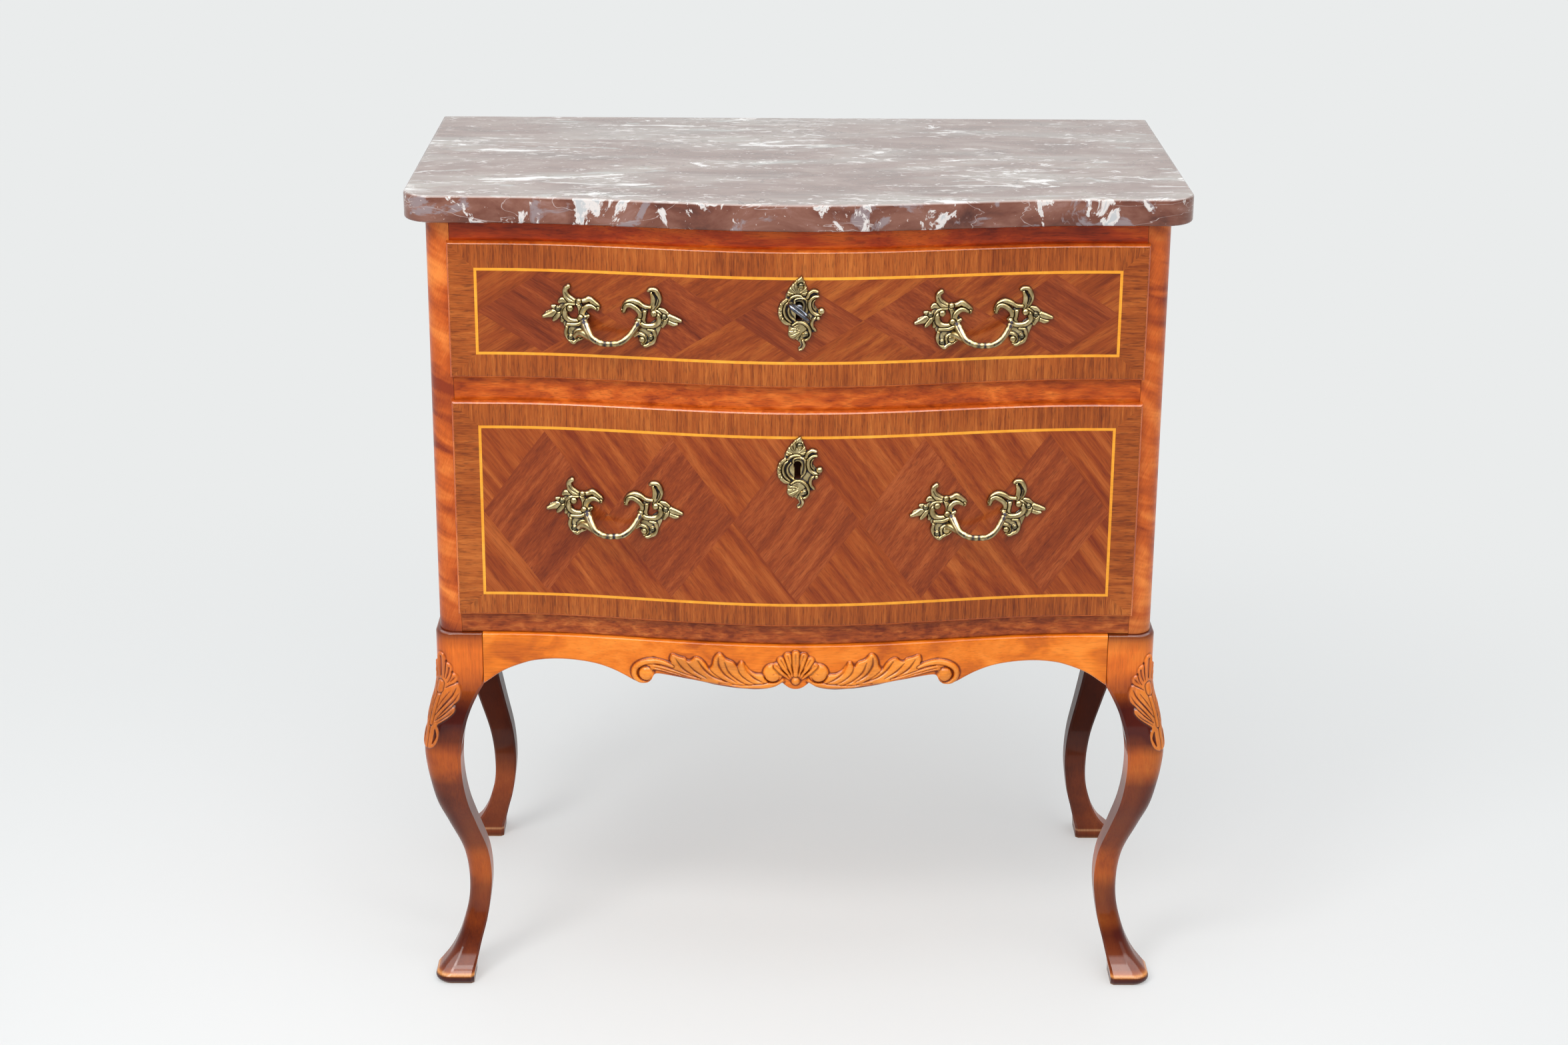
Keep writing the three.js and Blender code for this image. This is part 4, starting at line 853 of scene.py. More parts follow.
apron = {
    "half": 312, "sideHalf": 136.5, "sideMiddle": -184.5, "thick": 22, "backDrop": 38.5, "drop": 55,
    # lower edge of the front apron, as distance from the middle and height
    "edge": [(0, 341.7), (3, 342), (7, 343.5), (11, 346.5), (13, 348.3), (15, 347.5), (20, 344.5),
             (25, 342.7), (32, 341.3), (40, 340.7), (50, 341), (60, 341.5), (70, 342.7), (80, 344),
             (90, 346), (100, 347.7), (110, 349), (120, 350.5), (130, 351.8), (136, 352.2),
             (139.6, 351.6), (141.6, 349.4), (142.8, 346.4), (144.8, 343.6), (148, 341.9), (152, 341.3),
             (157, 342), (163, 344.5), (170, 348.3), (180, 353), (192, 357.2), (205, 360), (222, 361.7),
             (239, 361.9), (255, 360.3), (269, 357.2), (291.6, 348), (312, 334)],
    # the side aprons' edge, as shares of their half length and of the drop
    "sideEdge": [(0, 0.78), (0.25, 0.7), (0.5, 0.52), (0.7, 0.49), (0.86, 0.62), (1, 0.995)],
}

# The front apron's carving, for the left half: outline of the leaf spray, then all the strokes
leafOutline = [
    (-26, 347), (-31, 357), (-40, 358.5), (-46, 362), (-50, 367.5), (-54, 371.5), (-58, 366),
    (-62, 370.5), (-69, 373.2), (-74.5, 379), (-79, 376.5), (-81.5, 371.5), (-82.5, 366), (-86, 362),
    (-90, 368), (-95, 372.5), (-99.5, 373.5), (-103, 370.5), (-107, 369), (-110, 372), (-116, 373.3),
    (-122.5, 375.5), (-124.8, 370), (-124, 365.5), (-132, 364), (-140, 362.5), (-148, 360), (-148, 357),
    (-137, 357), (-125, 354.5), (-110, 351), (-95, 348), (-80, 345.8), (-60, 343.3), (-40, 342.3),
    (-30, 343),
]
apronStrokes = [
    ([(-119, 371), (-113, 362), (-105, 356), (-93, 350.5)], (1, 3.6, 3, 1), 1.7, "cut"),
    ([(-108.5, 368), (-100, 359), (-88, 351.5)], (1, 3.4, 1), 1.7, "cut"),
    ([(-97, 370), (-91, 361.5), (-82, 354), (-68, 348.6)], (1.4, 4, 3, 1), 1.8, "cut"),
    ([(-85.5, 361.5), (-79, 355.5), (-70, 350), (-60, 346.5)], (2.2, 2.4, 2, 1), 1.6, "cut"),
    ([(-76.5, 375), (-76, 366), (-70, 356.5), (-58, 348.5)], (1.2, 4, 3.4, 1), 1.8, "cut"),
    ([(-70.5, 370), (-66, 359), (-56, 350.5), (-46, 346)], (1.2, 3.6, 3, 1), 1.7, "cut"),
    ([(-58, 366), (-55, 358), (-47, 351), (-37, 346.5)], (2, 2.6, 2.2, 1), 1.7, "cut"),
    ([(-51.5, 368), (-47.5, 360.5), (-40, 353.5), (-30, 348.5)], (1.4, 4, 3, 1), 1.8, "cut"),
    ([(-148, 363), (-134, 360.5), (-120, 357), (-105, 352.5), (-95, 350.5)], (4, 3.4, 2.8, 2.2, 1.6), 2.9,
     "round"),
    ([(-122, 362), (-130, 365), (-140, 366.4), (-150, 364.6), (-158, 359.5), (-160.6, 353.5), (-159, 347.5),
      (-154, 344.3), (-147, 344.5)],
     (3.5, 5, 6, 6, 6, 6, 5.5, 4.5, 3.5), 3.4, "round"),
    ([(-148.5, 352)], (16,), 4.6, "round"),
    ([(-155, 357), (-156.2, 351.5), (-153, 346.6), (-147.4, 345.4), (-143.4, 349), (-144, 354),
      (-148.4, 355.6)],
     (0.8, 1.3, 1.5, 1.5, 1.5, 1.4, 0.8), 1.5, "cut"),
    ([(-76, 347), (-56, 344.4), (-36, 345), (-28, 346), (-21, 348), (-13, 352)], (0.6, 3, 5, 6, 6, 4), 3,
     "round"),
    ([(-22.4, 359.6)], (20,), 5.2, "round"),
    ([(-30.8, 359), (-29.4, 353), (-24.6, 350), (-18.8, 351.2), (-15.8, 355.8), (-18.6, 359.6),
      (-22.4, 358.8)],
     (0.8, 1.4, 1.6, 1.6, 1.6, 1.4, 0.8), 1.7, "cut"),
    ([(-6, 355), (-13, 361), (-18.8, 367)], (5, 7, 7.5), (2.6, 3.6, 3.2), "flat"),
    ([(-4, 356), (-10, 365), (-14.6, 373)], (5, 7.5, 8), (3, 4, 3.4), "flat"),
    ([(-2, 357), (-5, 368), (-7.8, 377.6)], (5, 7.5, 8.2), (3.4, 4.3, 3.6), "flat"),
    ([(0, 357), (0, 369), (0, 379.6)], (5, 7.5, 8.4), (3.6, 4.5, 3.8), "flat"),
    ([(-6.5, 357.5), (-13, 362), (-19, 367.5)], (0.8, 2.2, 2.8), 1.6, "cut"),
    ([(-4.5, 359), (-10, 366), (-14.8, 374)], (0.8, 2.2, 2.8), 1.7, "cut"),
    ([(-2.4, 360), (-5, 369), (-7.9, 378.6)], (0.8, 2.2, 2.8), 1.8, "cut"),
    ([(0, 360), (0, 370), (0, 380.6)], (0.8, 2.2, 2.8), 1.8, "cut"),
    ([(0, 351.5)], (8.6,), 5, "round"),
]


def apronField(at, edge, count):
    # Heights over the face of an apron, with a count of rows from its top rounding down to its edge
    rows = np.linspace(0, 1, count)
    z = (chest["frameTop"] - leg["topRound"] - 0.4) * (1 - rows) + (edge[:, None] + 1) * rows
    return newField(-np.abs(np.repeat(at[:, None], count, 1)), z)


def apronRings(at, edge, bowed, field):
    # Rings along an apron, each from the back over the top edge and down the face at y = 0
    soft, top = leg["topRound"], chest["frameTop"] - leg["topRound"]
    turns = np.radians(np.arange(90, -1, -15))
    rings = []
    for i, low in enumerate(edge):
        face = -bowed[i]
        ring = [(apron["thick"], low), (apron["thick"], chest["frameTop"])]
        ring += [(face + soft - soft * math.cos(a), top + soft * math.sin(a)) for a in turns]
        ring += [(face - height, z) for z, height in zip(field["z"][i], field["height"][i])]
        rings.append([(at[i], y, z) for y, z in ring + [(face + 1.4, low)]])
    return np.array(rings)


def makeFrontApron():
    coarse = np.linspace(-311.7, -172, 48)[:-1]
    at = np.concatenate([coarse, np.arange(-172, 172.1, 0.65), -coarse[::-1]])
    line = smoothPath(apron["edge"], 12)
    edge = np.interp(np.abs(at), np.maximum.accumulate(line[:, 0]), line[:, 1])
    field = apronField(at, edge, 70)
    raiseOutline(field, leafOutline, 3.2, 2.4)
    drawStrokes(field, apronStrokes, 0.9)
    field["height"] = blurred(field["height"], 0.8)
    rings = apronRings(at, edge, bow(at), field)
    rings[:, :, 1] += chest["frameFront"]
    # each ring ends with the points of the carved face and one below them
    face = np.s_[:, -1 - field["z"].shape[1]:-1]
    stainAndShade, wearAndHighlight = np.zeros(rings.shape[:2]), np.zeros(rings.shape[:2])
    # painted shade darkens the carving's grooves; the apron is also darker along its lower edge and towards
    # the legs
    dark = np.clip(2.3 * recess(field["height"], 2.4, 0.9) - 0.4, 0, 0.9)
    nearEdge = np.clip(1 - (field["z"] - edge[:, None]) / 2.5, 0, 1) * 0.4
    nearLegs = np.clip((-field["x"] - 296) / 40, 0, 1) * 0.3
    stainAndShade[face] = np.maximum(dark, nearEdge + nearLegs)
    # the raised carving is paler, partly rubbed and partly a painted highlight
    wearAndHighlight[face] = 0.28 * np.clip((field["height"] - 1.4) / 1.2, 0, 1)
    points, faces = loft(rings)
    finish = finishes["frameAcross"]
    piece = makePiece("frontApronCarved", points, faces, [finish], 50, {"stainAndShade": stainAndShade, "wearAndHighlight": wearAndHighlight})
    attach(piece, "case")
    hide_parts("front_apron")


def makePlainAprons():
    for name, side in (("back_apron", 0), ("right_apron", 1), ("left_apron", -1)):
        half = apron["sideHalf"] if side else apron["half"]
        at = np.linspace(-half + 0.3, half - 0.3, 90)
        edge = np.full(len(at), chest["frameTop"] - apron["backDrop"])
        if side:
            drops = curveValue(np.abs(at) / half, *zip(*apron["sideEdge"]))
            edge = chest["frameTop"] - apron["drop"] * drops
        rings = apronRings(at, edge, 0 * at, apronField(at, edge, 8))
        x, y = rings[..., 0].copy(), rings[..., 1].copy()
        if side:
            rings[..., 0] = side * (chest["frameHalf"] - y)
            rings[..., 1] = x + apron["sideMiddle"]
        else:
            rings[..., 1] = -y
        points, faces = loft(rings)
        piece = makePiece(name + "Polished", points, faces, [finishes["frame" if side else "backLegShaded"]], 50)
        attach(piece, "case")
        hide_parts(name)


makeLegs()
makeFrontApron()
makePlainAprons()
print("leg frame")

# Drawer fronts: each veneer is a set of faces cut along the joints

drawer = {
    "lipHalf": 334.7, "lipFront": -373.3, "lipBack": -365.3, "round": 3.6,
    "bodyHalf": 331.2, "bodyBack": -353.3, "gap": 1.2,
    # groove for the bottom board: its heights above the opening's lower edge, its back and its half length
    "groove": (8.7, 13.3), "grooveBack": -358.3, "grooveHalf": 324.2,
    # corners of the recess for the lock, its heights from the body's upper edge
    "lock": ((-28.3, -394.6, -66.3), (28.3, -370, 1)),
    "string": 309, "stringWidth": 2.7, "diamond": 61.25,
    # heights of lip, opening and stringing, middle and half height of the diamonds, and keyhole
    "upper": {"lip": (654.2, 788.3), "opening": (656.5, 786), "string": (678, 763.4),
              "middle": 720.7, "half": 39, "key": 736.4},
    "lower": {"lip": (409.7, 630.3), "opening": (412, 628), "string": (431.6, 606.5),
              "middle": 519, "half": 82.5, "key": 578.4},
}
veneers = {
    "upperDiamond": {"colours": ("#5C1F08", "#7E3412", "#9C4C20"), "turn": (0, -57, 0),
                     "pore": (0.0011, 0.0011, 0.03), "figure": (0.009, 0.009, 0.16), "twist": 0.25,
                     "weights": (0.55, 0.65, 0.3), "pitted": 0.3},
    "upperTriangle": {"colours": ("#6A2809", "#8A3D12", "#A65820"), "turn": (0, 57, 0),
                      "pore": (0.0012, 0.0012, 0.02), "figure": (0.009, 0.009, 0.12), "twist": 0.25,
                      "weights": (0.45, 0.8, 0.35), "pitted": 0.3},
    "lowerDiamond": {"colours": ("#68260B", "#873A14", "#A65426"), "turn": (0, 37, 0),
                     "pore": (0.001, 0.001, 0.01), "figure": (0.008, 0.008, 0.12), "twist": 0.25,
                     "weights": (0.6, 0.6, 0.3), "pitted": 0.3},
    "lowerTriangle": {"colours": ("#702609", "#904012", "#AC5A24"), "turn": (0, -37, 0),
                      "pore": (0.0011, 0.0011, 0.03), "figure": (0.0095, 0.0095, 0.16), "twist": 0.25,
                      "weights": (0.45, 0.85, 0.3), "pitted": 0.25},
    "string": {"colours": ("#D07E1C", "#E69A2C", "#F0AE42"), "turn": (0, 90, 0), "weights": (0.3, 0.3, 0.3),
               "pitted": 0.1},
    "acrossBand": {"colours": ("#6A2A08", "#984A16", "#B66628"), "pore": (0.001, 0.001, 0.024),
                   "figure": (0.0028, 0.0028, 0.12), "twist": 0.15, "weights": (0.6, 0.5, 0.5),
                   "pitted": 0.42},
    "sideBand": {"colours": ("#702D08", "#984A16", "#B66427"), "turn": (0, 90, 0),
                 "pore": (0.0011, 0.0011, 0.02), "figure": (0.007, 0.007, 0.08), "twist": 0.2,
                 "weights": (0.7, 0.5, 0.5), "pitted": 0.5},
    "lipEdge": {"colours": ("#963A08", "#BC5614", "#D8742A"), "turn": (0, 90, 0),
                "weights": (0.3, 0.6, 0.6), "coat": 1.0},
}
finishes.update({name: polishedWood(name + "Veneer", look) for name, look in veneers.items()})
drawerSlots = ["pineAcross", "lipEdge", "acrossBand", "sideBand", "string", "Diamond", "Triangle", "shadedCutWood"]


def cutJoint(form, point, normal, inside):
    # Cuts the faces that lie in a region of the front along one straight joint
    chosen = [f for f in form.faces if inside(f.calc_center_median())]
    parts = set(chosen)
    for face in chosen:
        parts.update(face.verts)
        parts.update(face.edges)
    bmesh.ops.bisect_plane(form, geom=list(parts), dist=1e-6, plane_co=point, plane_no=normal)


def makeDrawerFront(which):
    sizes = drawer[which]
    (lipLow, lipHigh), (openLow, openHigh) = sizes["lip"], sizes["opening"]
    low, high = openLow + drawer["gap"], openHigh - drawer["gap"]
    front, step, back, deep = [drawer[name] for name in ("lipFront", "lipBack", "bodyBack", "grooveBack")]
    half, bodyHalf, soft = drawer["lipHalf"], drawer["bodyHalf"], drawer["round"]
    grooveLow, grooveHigh = [openLow + rise for rise in drawer["groove"]]
    turns = np.radians(np.arange(0, 91, 15))
    # section through the lip, from its lower back edge round the face to the top of the body
    lip = [(step, lipLow)]
    lip += [(front + soft - soft * math.sin(a), lipLow + soft - soft * math.cos(a)) for a in turns]
    lip += [(front, z) for z in np.linspace(lipLow + soft, lipHigh - soft, 13)[1:]]
    lip += [(front + soft - soft * math.cos(a), lipHigh - soft + soft * math.sin(a)) for a in turns[1:]]
    lip += [(step, lipHigh), (step, high)]
    body = [(back, high), (back, grooveHigh), (deep, grooveHigh)]
    body += [(deep, grooveLow), (back, grooveLow), (back, low)]
    # places across: the lip's rounded end, the body's end, then its length
    columns = [(-half + soft * (1 - math.cos(a)), False) for a in turns]
    columns += [(-bodyHalf - 0.01, False), (-bodyHalf, True)]
    columns += [(x, True) for x in np.linspace(-bodyHalf + 2, bodyHalf - 2, 165)]
    columns += [(-x, solid) for x, solid in columns[:len(turns) + 2][::-1]]
    rings = []
    for x, solid in columns:
        inset = soft - math.sqrt(max(soft ** 2 - max(abs(x) - (half - soft), 0) ** 2, 0))
        ring = [(max(y, front + inset) if y < step else y, z) for y, z in lip]
        for y, z in body:
            reached = y if abs(x) < drawer["grooveHalf"] else back
            ring.append((reached if solid else step, z))
        rings.append([(x, y - bow(x), z) for y, z in ring + [(step, low)]])
    points, faces = loft(np.array(rings))
    materials = [finishes[which + name if name in ("Diamond", "Triangle") else name] for name in drawerSlots]
    piece = makePiece(which + "DrawerFront", points, faces, materials, 35)
    layVeneers(piece, sizes)
    cutBoxes(piece, [np.array(drawer["lock"]) + [0, 0, high]], [sizes["key"]])
    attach(piece, which + "_drawer")
    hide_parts(which + "_drawer_front")


def layVeneers(piece, sizes):
    # Cuts the front's faces along every joint and gives each face its veneer; all sizes in metres here
    metres = 1 / 1000
    string, thin = drawer["string"] * metres, drawer["stringWidth"] * metres
    wide, halfLip = drawer["diamond"] * metres, drawer["lipHalf"] * metres
    low, high = [v * metres for v in sizes["string"]]
    lipLow, lipHigh = [v * metres for v in sizes["lip"]]
    middle, half = sizes["middle"] * metres, sizes["half"] * metres

    def bowed(y, centre):
        return (y - bow(centre.x * 1000)) * metres + rowShift * metres

    def onFront(centre):
        return abs(centre.y - bowed(drawer["lipFront"], centre)) < 0.0006

    def onField(centre):
        return onFront(centre) and abs(centre.x) < string - thin and low + thin < centre.z < high - thin

    form = bmesh.new()
    form.from_mesh(piece.data)
    for x in (-string, -string + thin, string - thin, string):
        cutJoint(form, (x, 0, 0), (1, 0, 0), onFront)
    for z in (low, low + thin, high - thin, high):
        cutJoint(form, (0, 0, z), (0, 0, 1), onFront)
    # the bands meet in mitres at the four corners
    for side in (-1, 1):
        for cornerZ, lipZ in ((low, lipLow), (high, lipHigh)):

            def atMitre(centre):
                outside = abs(centre.x) > string or centre.z < low or centre.z > high
                beyond = centre.x * side > string - 0.004 and (centre.z - cornerZ) * (lipZ - cornerZ) > -1e-5
                return onFront(centre) and outside and beyond
            across = (cornerZ - lipZ, 0, side * (halfLip - string))
            cutJoint(form, (side * string, 0, cornerZ), across, atMitre)
    # the field is parquet of diamonds with triangles between them
    for k in range(-5, 6):
        crossing = (k * wide, 0, middle if k % 2 else middle + half)
        for slope in (-1, 1):
            cutJoint(form, crossing, (half * slope, 0, wide), onField)

    def veneerAt(face):
        centre = face.calc_center_median()
        x, z = centre.x, centre.z
        if not onFront(centre):
            beforeStep = centre.y < bowed(drawer["lipBack"], centre) - 0.0005
            rounded = face.normal.y < -0.05 or (abs(face.normal.y) < 0.3 and beforeStep)
            return "lipEdge" if rounded else "pineAcross"
        if onField(centre):
            column = round(x / (2 * wide))
            inDiamond = abs(x - 2 * wide * column) / wide + abs(z - middle) / half < 1
            return "Diamond" if inDiamond else "Triangle"
        if abs(x) < string and low < z < high:
            return "string"
        beside = (abs(x) - string) / (halfLip - string)
        above = max((z - high) / (lipHigh - high), (low - z) / (low - lipLow))
        return "sideBand" if beside > above else "acrossBand"

    for face in form.faces:
        face.material_index = drawerSlots.index(veneerAt(face))
    form.to_mesh(piece.data)
    form.free()


for which in ("upper", "lower"):
    makeDrawerFront(which)
print("drawer fronts")

# Brass: handles and escutcheons

mounts = {
    "back": -373.9, "base": 1.2, "handleX": 177, "line": {"upper": 719.5, "lower": 526},
    # spacing of the grid, and how much fuller the strokes are than their drawn widths
    "grid": 0.42, "full": 1.3,
}

# The two plates of a handle, as strokes: points from the handle's middle, widths, height and section
leftPlate = [
    ([(-62, 0), (-50, 3), (-45, 8), (-40, 12)], (5, 9, 7, 6), 0.4, "flat"),
    ([(-45, -2), (-42, -8), (-40, -15), (-38, -23)], (6, 8, 8, 6), 0.4, "flat"),
    ([(-38, -8), (-34, -13), (-31, -18)], (8, 9, 8), 0.4, "flat"),
    ([(-33, 12), (-29, 4), (-27, 0)], (5, 5, 6), 0.6, "flat"),
    ([(-66, -2), (-61, -0.4), (-56, 1.5), (-51, 5)], (3, 4.2, 6.2, 5), 2.4, "round"),
    ([(-56.4, -5.4), (-54, -3), (-51, 1)], (2.6, 4, 4), 2.2, "round"),
    ([(-48.4, -6), (-47, -2), (-46, 2)], (2.8, 4, 3), 2, "round"),
    ([(-57.6, 8), (-55, 7.4), (-51, 6)], (2.6, 3.8, 4), 1.9, "round"),
    ([(-50.6, 13), (-48, 14.5), (-43, 13.5)], (3, 4.6, 4), 2.2, "round"),
    ([(-34, 13), (-40, 15.5), (-44, 20), (-44.8, 25), (-41.8, 28)], (4.4, 6, 5.2, 4.2, 4), 3, "round"),
    ([(-37, 14.5), (-42, 17.5), (-45, 22.5)], (0.8, 1.6, 0.8), 1.2, "cut"),
    ([(-36, 11), (-44, 9.5), (-47.5, 4), (-46.5, -3)], (2, 3.4, 3.4, 2), 2.2, "round"),
    ([(-33, 12), (-30.5, 5), (-30, 1)], (3, 4, 4), 2.4, "round"),
    ([(-32, 14), (-26, 15), (-22, 16.5), (-17, 13), (-13.5, 10), (-14, 7.5)], (3, 4, 4.6, 4.4, 3.8, 3), 3.2,
     "round"),
    ([(-14.2, 7.5)], (4.2,), 3.4, "round"),
    ([(-16, 7.5), (-20, 9.5), (-24, 9), (-28, 5), (-28.5, 1), (-26, -2), (-23, 0)],
     (2.6, 4, 4.6, 4.4, 4, 3.6, 3), 3, "round"),
    ([(-40.5, 7), (-45, 4), (-44.5, -2), (-39, -5.5), (-32, -5), (-30.5, -2)], (4, 4.4, 4.4, 4.4, 4, 3.6),
     3, "round"),
    ([(-40.5, 6.6)], (5.6,), 3.4, "round"),
    ([(-30.5, -2)], (5.2,), 3.4, "round"),
    ([(-43, -9), (-45, -17), (-42.5, -23), (-38, -27), (-35, -25), (-30, -22.5), (-26, -20.5)],
     (2.6, 3.4, 3.6, 3.4, 3, 3, 2), 2.6, "scallop"),
    ([(-43, -9), (-35, -9), (-28, -7), (-25, -10)], (3, 3.4, 3.4, 2.4), 2.6, "round"),
    ([(-36, -22), (-36, -17), (-32, -14), (-27, -15)], (2.2, 3, 3, 2), 2.6, "round"),
    ([(-31, -18.5)], (6,), 3, "round"),
    ([(-32, 14)], (4.6,), 3.2, "round"),
    ([(-52, 6)], (4.4,), 1.7, "flat"),
    ([(-40.3, -21.5)], (4.4,), 1.7, "flat"),
]
rightPlate = [
    ([(60, -1), (52, 1.5), (46, 3), (40, 10)], (5, 8, 7, 6), 0.4, "flat"),
    ([(45, -3), (40, -9), (37, -17), (33, -24)], (6, 9, 9, 5), 0.4, "flat"),
    ([(36, -10), (30, -13), (26, -17)], (8, 7, 4), 0.4, "flat"),
    ([(31, 10), (30, 3), (29, -3)], (5, 5, 5), 0.6, "flat"),
    ([(53, 2), (59, 0.5), (65, -1)], (6, 5, 3), 2.4, "round"),
    ([(54, -3), (58, -4.6), (61.6, -4.4)], (3.6, 3.6, 2.2), 1.9, "round"),
    ([(45, 9.5), (49, 8), (52.6, 6)], (3, 4, 2.6), 2, "round"),
    ([(48, -7), (50, -3), (51, 0)], (2.8, 4.2, 4), 2, "round"),
    ([(39, 9), (44, 15), (45, 21), (42, 27.5), (37, 28.5), (34.4, 27.2)], (3, 3.8, 4, 3.8, 3.4, 2.6), 2.8,
     "round"),
    ([(38, 10), (40.5, 18), (37.5, 25)], (4, 6, 3), 2, "ridge"),
    ([(41, 13), (42, 20), (38.5, 25.5)], (0.8, 1.8, 0.8), 1.6, "cut"),
    ([(38, 7.5), (43, 7), (47, 2), (46, -5)], (2.4, 3.2, 3.4, 2), 2.2, "round"),
    ([(31, 6), (29.5, -2), (31, -5)], (3.6, 3.6, 3), 2.4, "round"),
    ([(10, 9), (13.5, 14), (19, 16.5), (25, 15), (30, 12), (36, 11)], (3, 4.4, 4.6, 4.2, 3.6, 3), 3.2,
     "round"),
    ([(11, 6.4)], (4.2,), 3.4, "round"),
    ([(11, 6), (13, 11), (17, 12.5), (23, 9), (26, 5), (26, 1), (23.5, -1.5)],
     (2.6, 4, 4.4, 4.4, 4, 3.6, 3), 3, "round"),
    ([(39.5, 4), (43.5, 3), (44.5, -2), (41, -6), (35, -7.5), (29, -6.5), (26, -3)],
     (4, 4.2, 4.4, 4.4, 4.4, 4, 3.4), 3, "round"),
    ([(39.5, 5)], (5.4,), 3.4, "round"),
    ([(25, -2.5)], (4.6,), 3.4, "round"),
    ([(34, -11), (39, -12), (40.5, -17), (39, -23), (35, -25.5), (31, -27), (28, -25)],
     (2.4, 3.2, 3.6, 3.6, 3.4, 3, 2), 2.6, "scallop"),
    ([(21, -18), (25, -15), (30, -17.5), (31, -22), (28, -24.5)], (2, 3.2, 3.4, 3, 2.4), 2.8, "round"),
    ([(28, -21)], (5.2,), 3.2, "round"),
    ([(49.5, 2.5)], (4.4,), 1.7, "flat"),
    ([(36.5, -18.5)], (4.4,), 1.7, "flat"),
]


def castField(lowX, highX, lowZ, highZ):
    sides = [np.arange(low, high, mounts["grid"]) for low, high in ((lowX, highX), (lowZ, highZ))]
    return newField(*np.meshgrid(*sides, indexing="ij"))


plates = []
for strokes, lowX, highX in ((leftPlate, -70, -8), (rightPlate, 6, 70)):
    field = castField(lowX, highX, -31, 32)
    drawStrokes(field, strokes, 0.5, mounts["full"])
    plates.append(castMesh(field, mounts["base"], 0.8))

# The bail: place across, height and distance from the plates' back, then thickness
bail = {
    "path": [(-27.5, -0.5, 3.2), (-26.5, -4, 4.5), (-24.6, -8, 8), (-21.8, -12.6, 13), (-18.6, -16.4, 18),
             (-13, -19, 21.8), (-7, -20.6, 23), (0, -21, 22), (7, -20, 23), (12.4, -17.4, 21.4),
             (17.2, -13.8, 16.8), (21.2, -9.4, 11), (24, -5.6, 6.4), (25.4, -2.6, 3.2)],
    # a second root that curls out of the lower leaf at the left
    "root": [(-36, -19, 2.4), (-32.4, -15.6, 4.8), (-27.6, -14.6, 8.4), (-22.4, -16, 13),
             (-16.6, -17.8, 18.4), (-11, -19.2, 21.6)],
    "rootThick": [4.6, 6.4, 7.6, 7.6, 7, 5.6],
    "thick": [6.5, 8.4, 8.6, 7.8, 7, 6.8, 6.2, 6.6, 6.2, 6.4, 6.2, 6.4, 6.8, 5.4], "sides": 20,
}


def sweepMesh(points, widths, marked):
    # A round bar along a smooth path, chased with notches and a groove where it is marked
    path = smoothPath(points, 9)
    thick = np.interp(np.linspace(0, 1, len(path)), np.linspace(0, 1, len(widths)), widths) / 2
    run = np.gradient(path, axis=0)
    run /= np.linalg.norm(run, axis=1)[:, None]
    rings, dark = [], []
    turns = np.linspace(0, 2 * np.pi, bail["sides"], endpoint=False)
    for i, centre in enumerate(path):
        across = np.cross(run[i], [0, 0, 1.0])
        across /= np.linalg.norm(across)
        other = np.cross(across, run[i])
        share = i / (len(path) - 1)
        notch = 0.16 * np.abs(np.sin(14 * np.pi * share)) * (0.5 + 0.5 * np.cos(4 * np.pi * share))
        groove = 0.14 * np.maximum(np.cos(2 * (turns - math.pi / 2)), 0) ** 4 * (abs(share - 0.5) > 0.12)
        cut = (notch + groove) * marked
        circle = np.cos(turns)[:, None] * across + np.sin(turns)[:, None] * other
        rings.append(centre + (thick[i] * (1 - cut))[:, None] * circle)
        dark.append(cut * 4.6)
    points, faces = loft(np.array(rings))
    return points[:, [0, 2, 1]], faces, np.array(dark).ravel()


def makeHandles():
    castings = plates + [sweepMesh(bail["path"], bail["thick"], 1)]
    castings.append(sweepMesh(bail["root"], bail["rootThick"], 0))
    dark = np.concatenate([recesses for points, faces, recesses in castings])
    for which in ("upper", "lower"):
        for side, name in ((-1, "left"), (1, "right")):
            centre = side * mounts["handleX"]
            parts = []
            for i, (points, faces, recesses) in enumerate(castings):
                x = points[:, 0] + centre
                # the plates are bent along the bow, the bail isn't
                out = bow(x) + points[:, 1] if i < len(plates) else bow(centre) + points[:, 1] + 0.4
                placed = np.column_stack([x, mounts["back"] - out, points[:, 2] + mounts["line"][which]])
                parts.append((placed, faces))
            label = which + "_" + name + "_handle"
            piece = makePiece(label + "Cast", *joined(parts), [finishes["brass"]], 60, {"recess": dark})
            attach(piece, which + "_drawer")
            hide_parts(label)


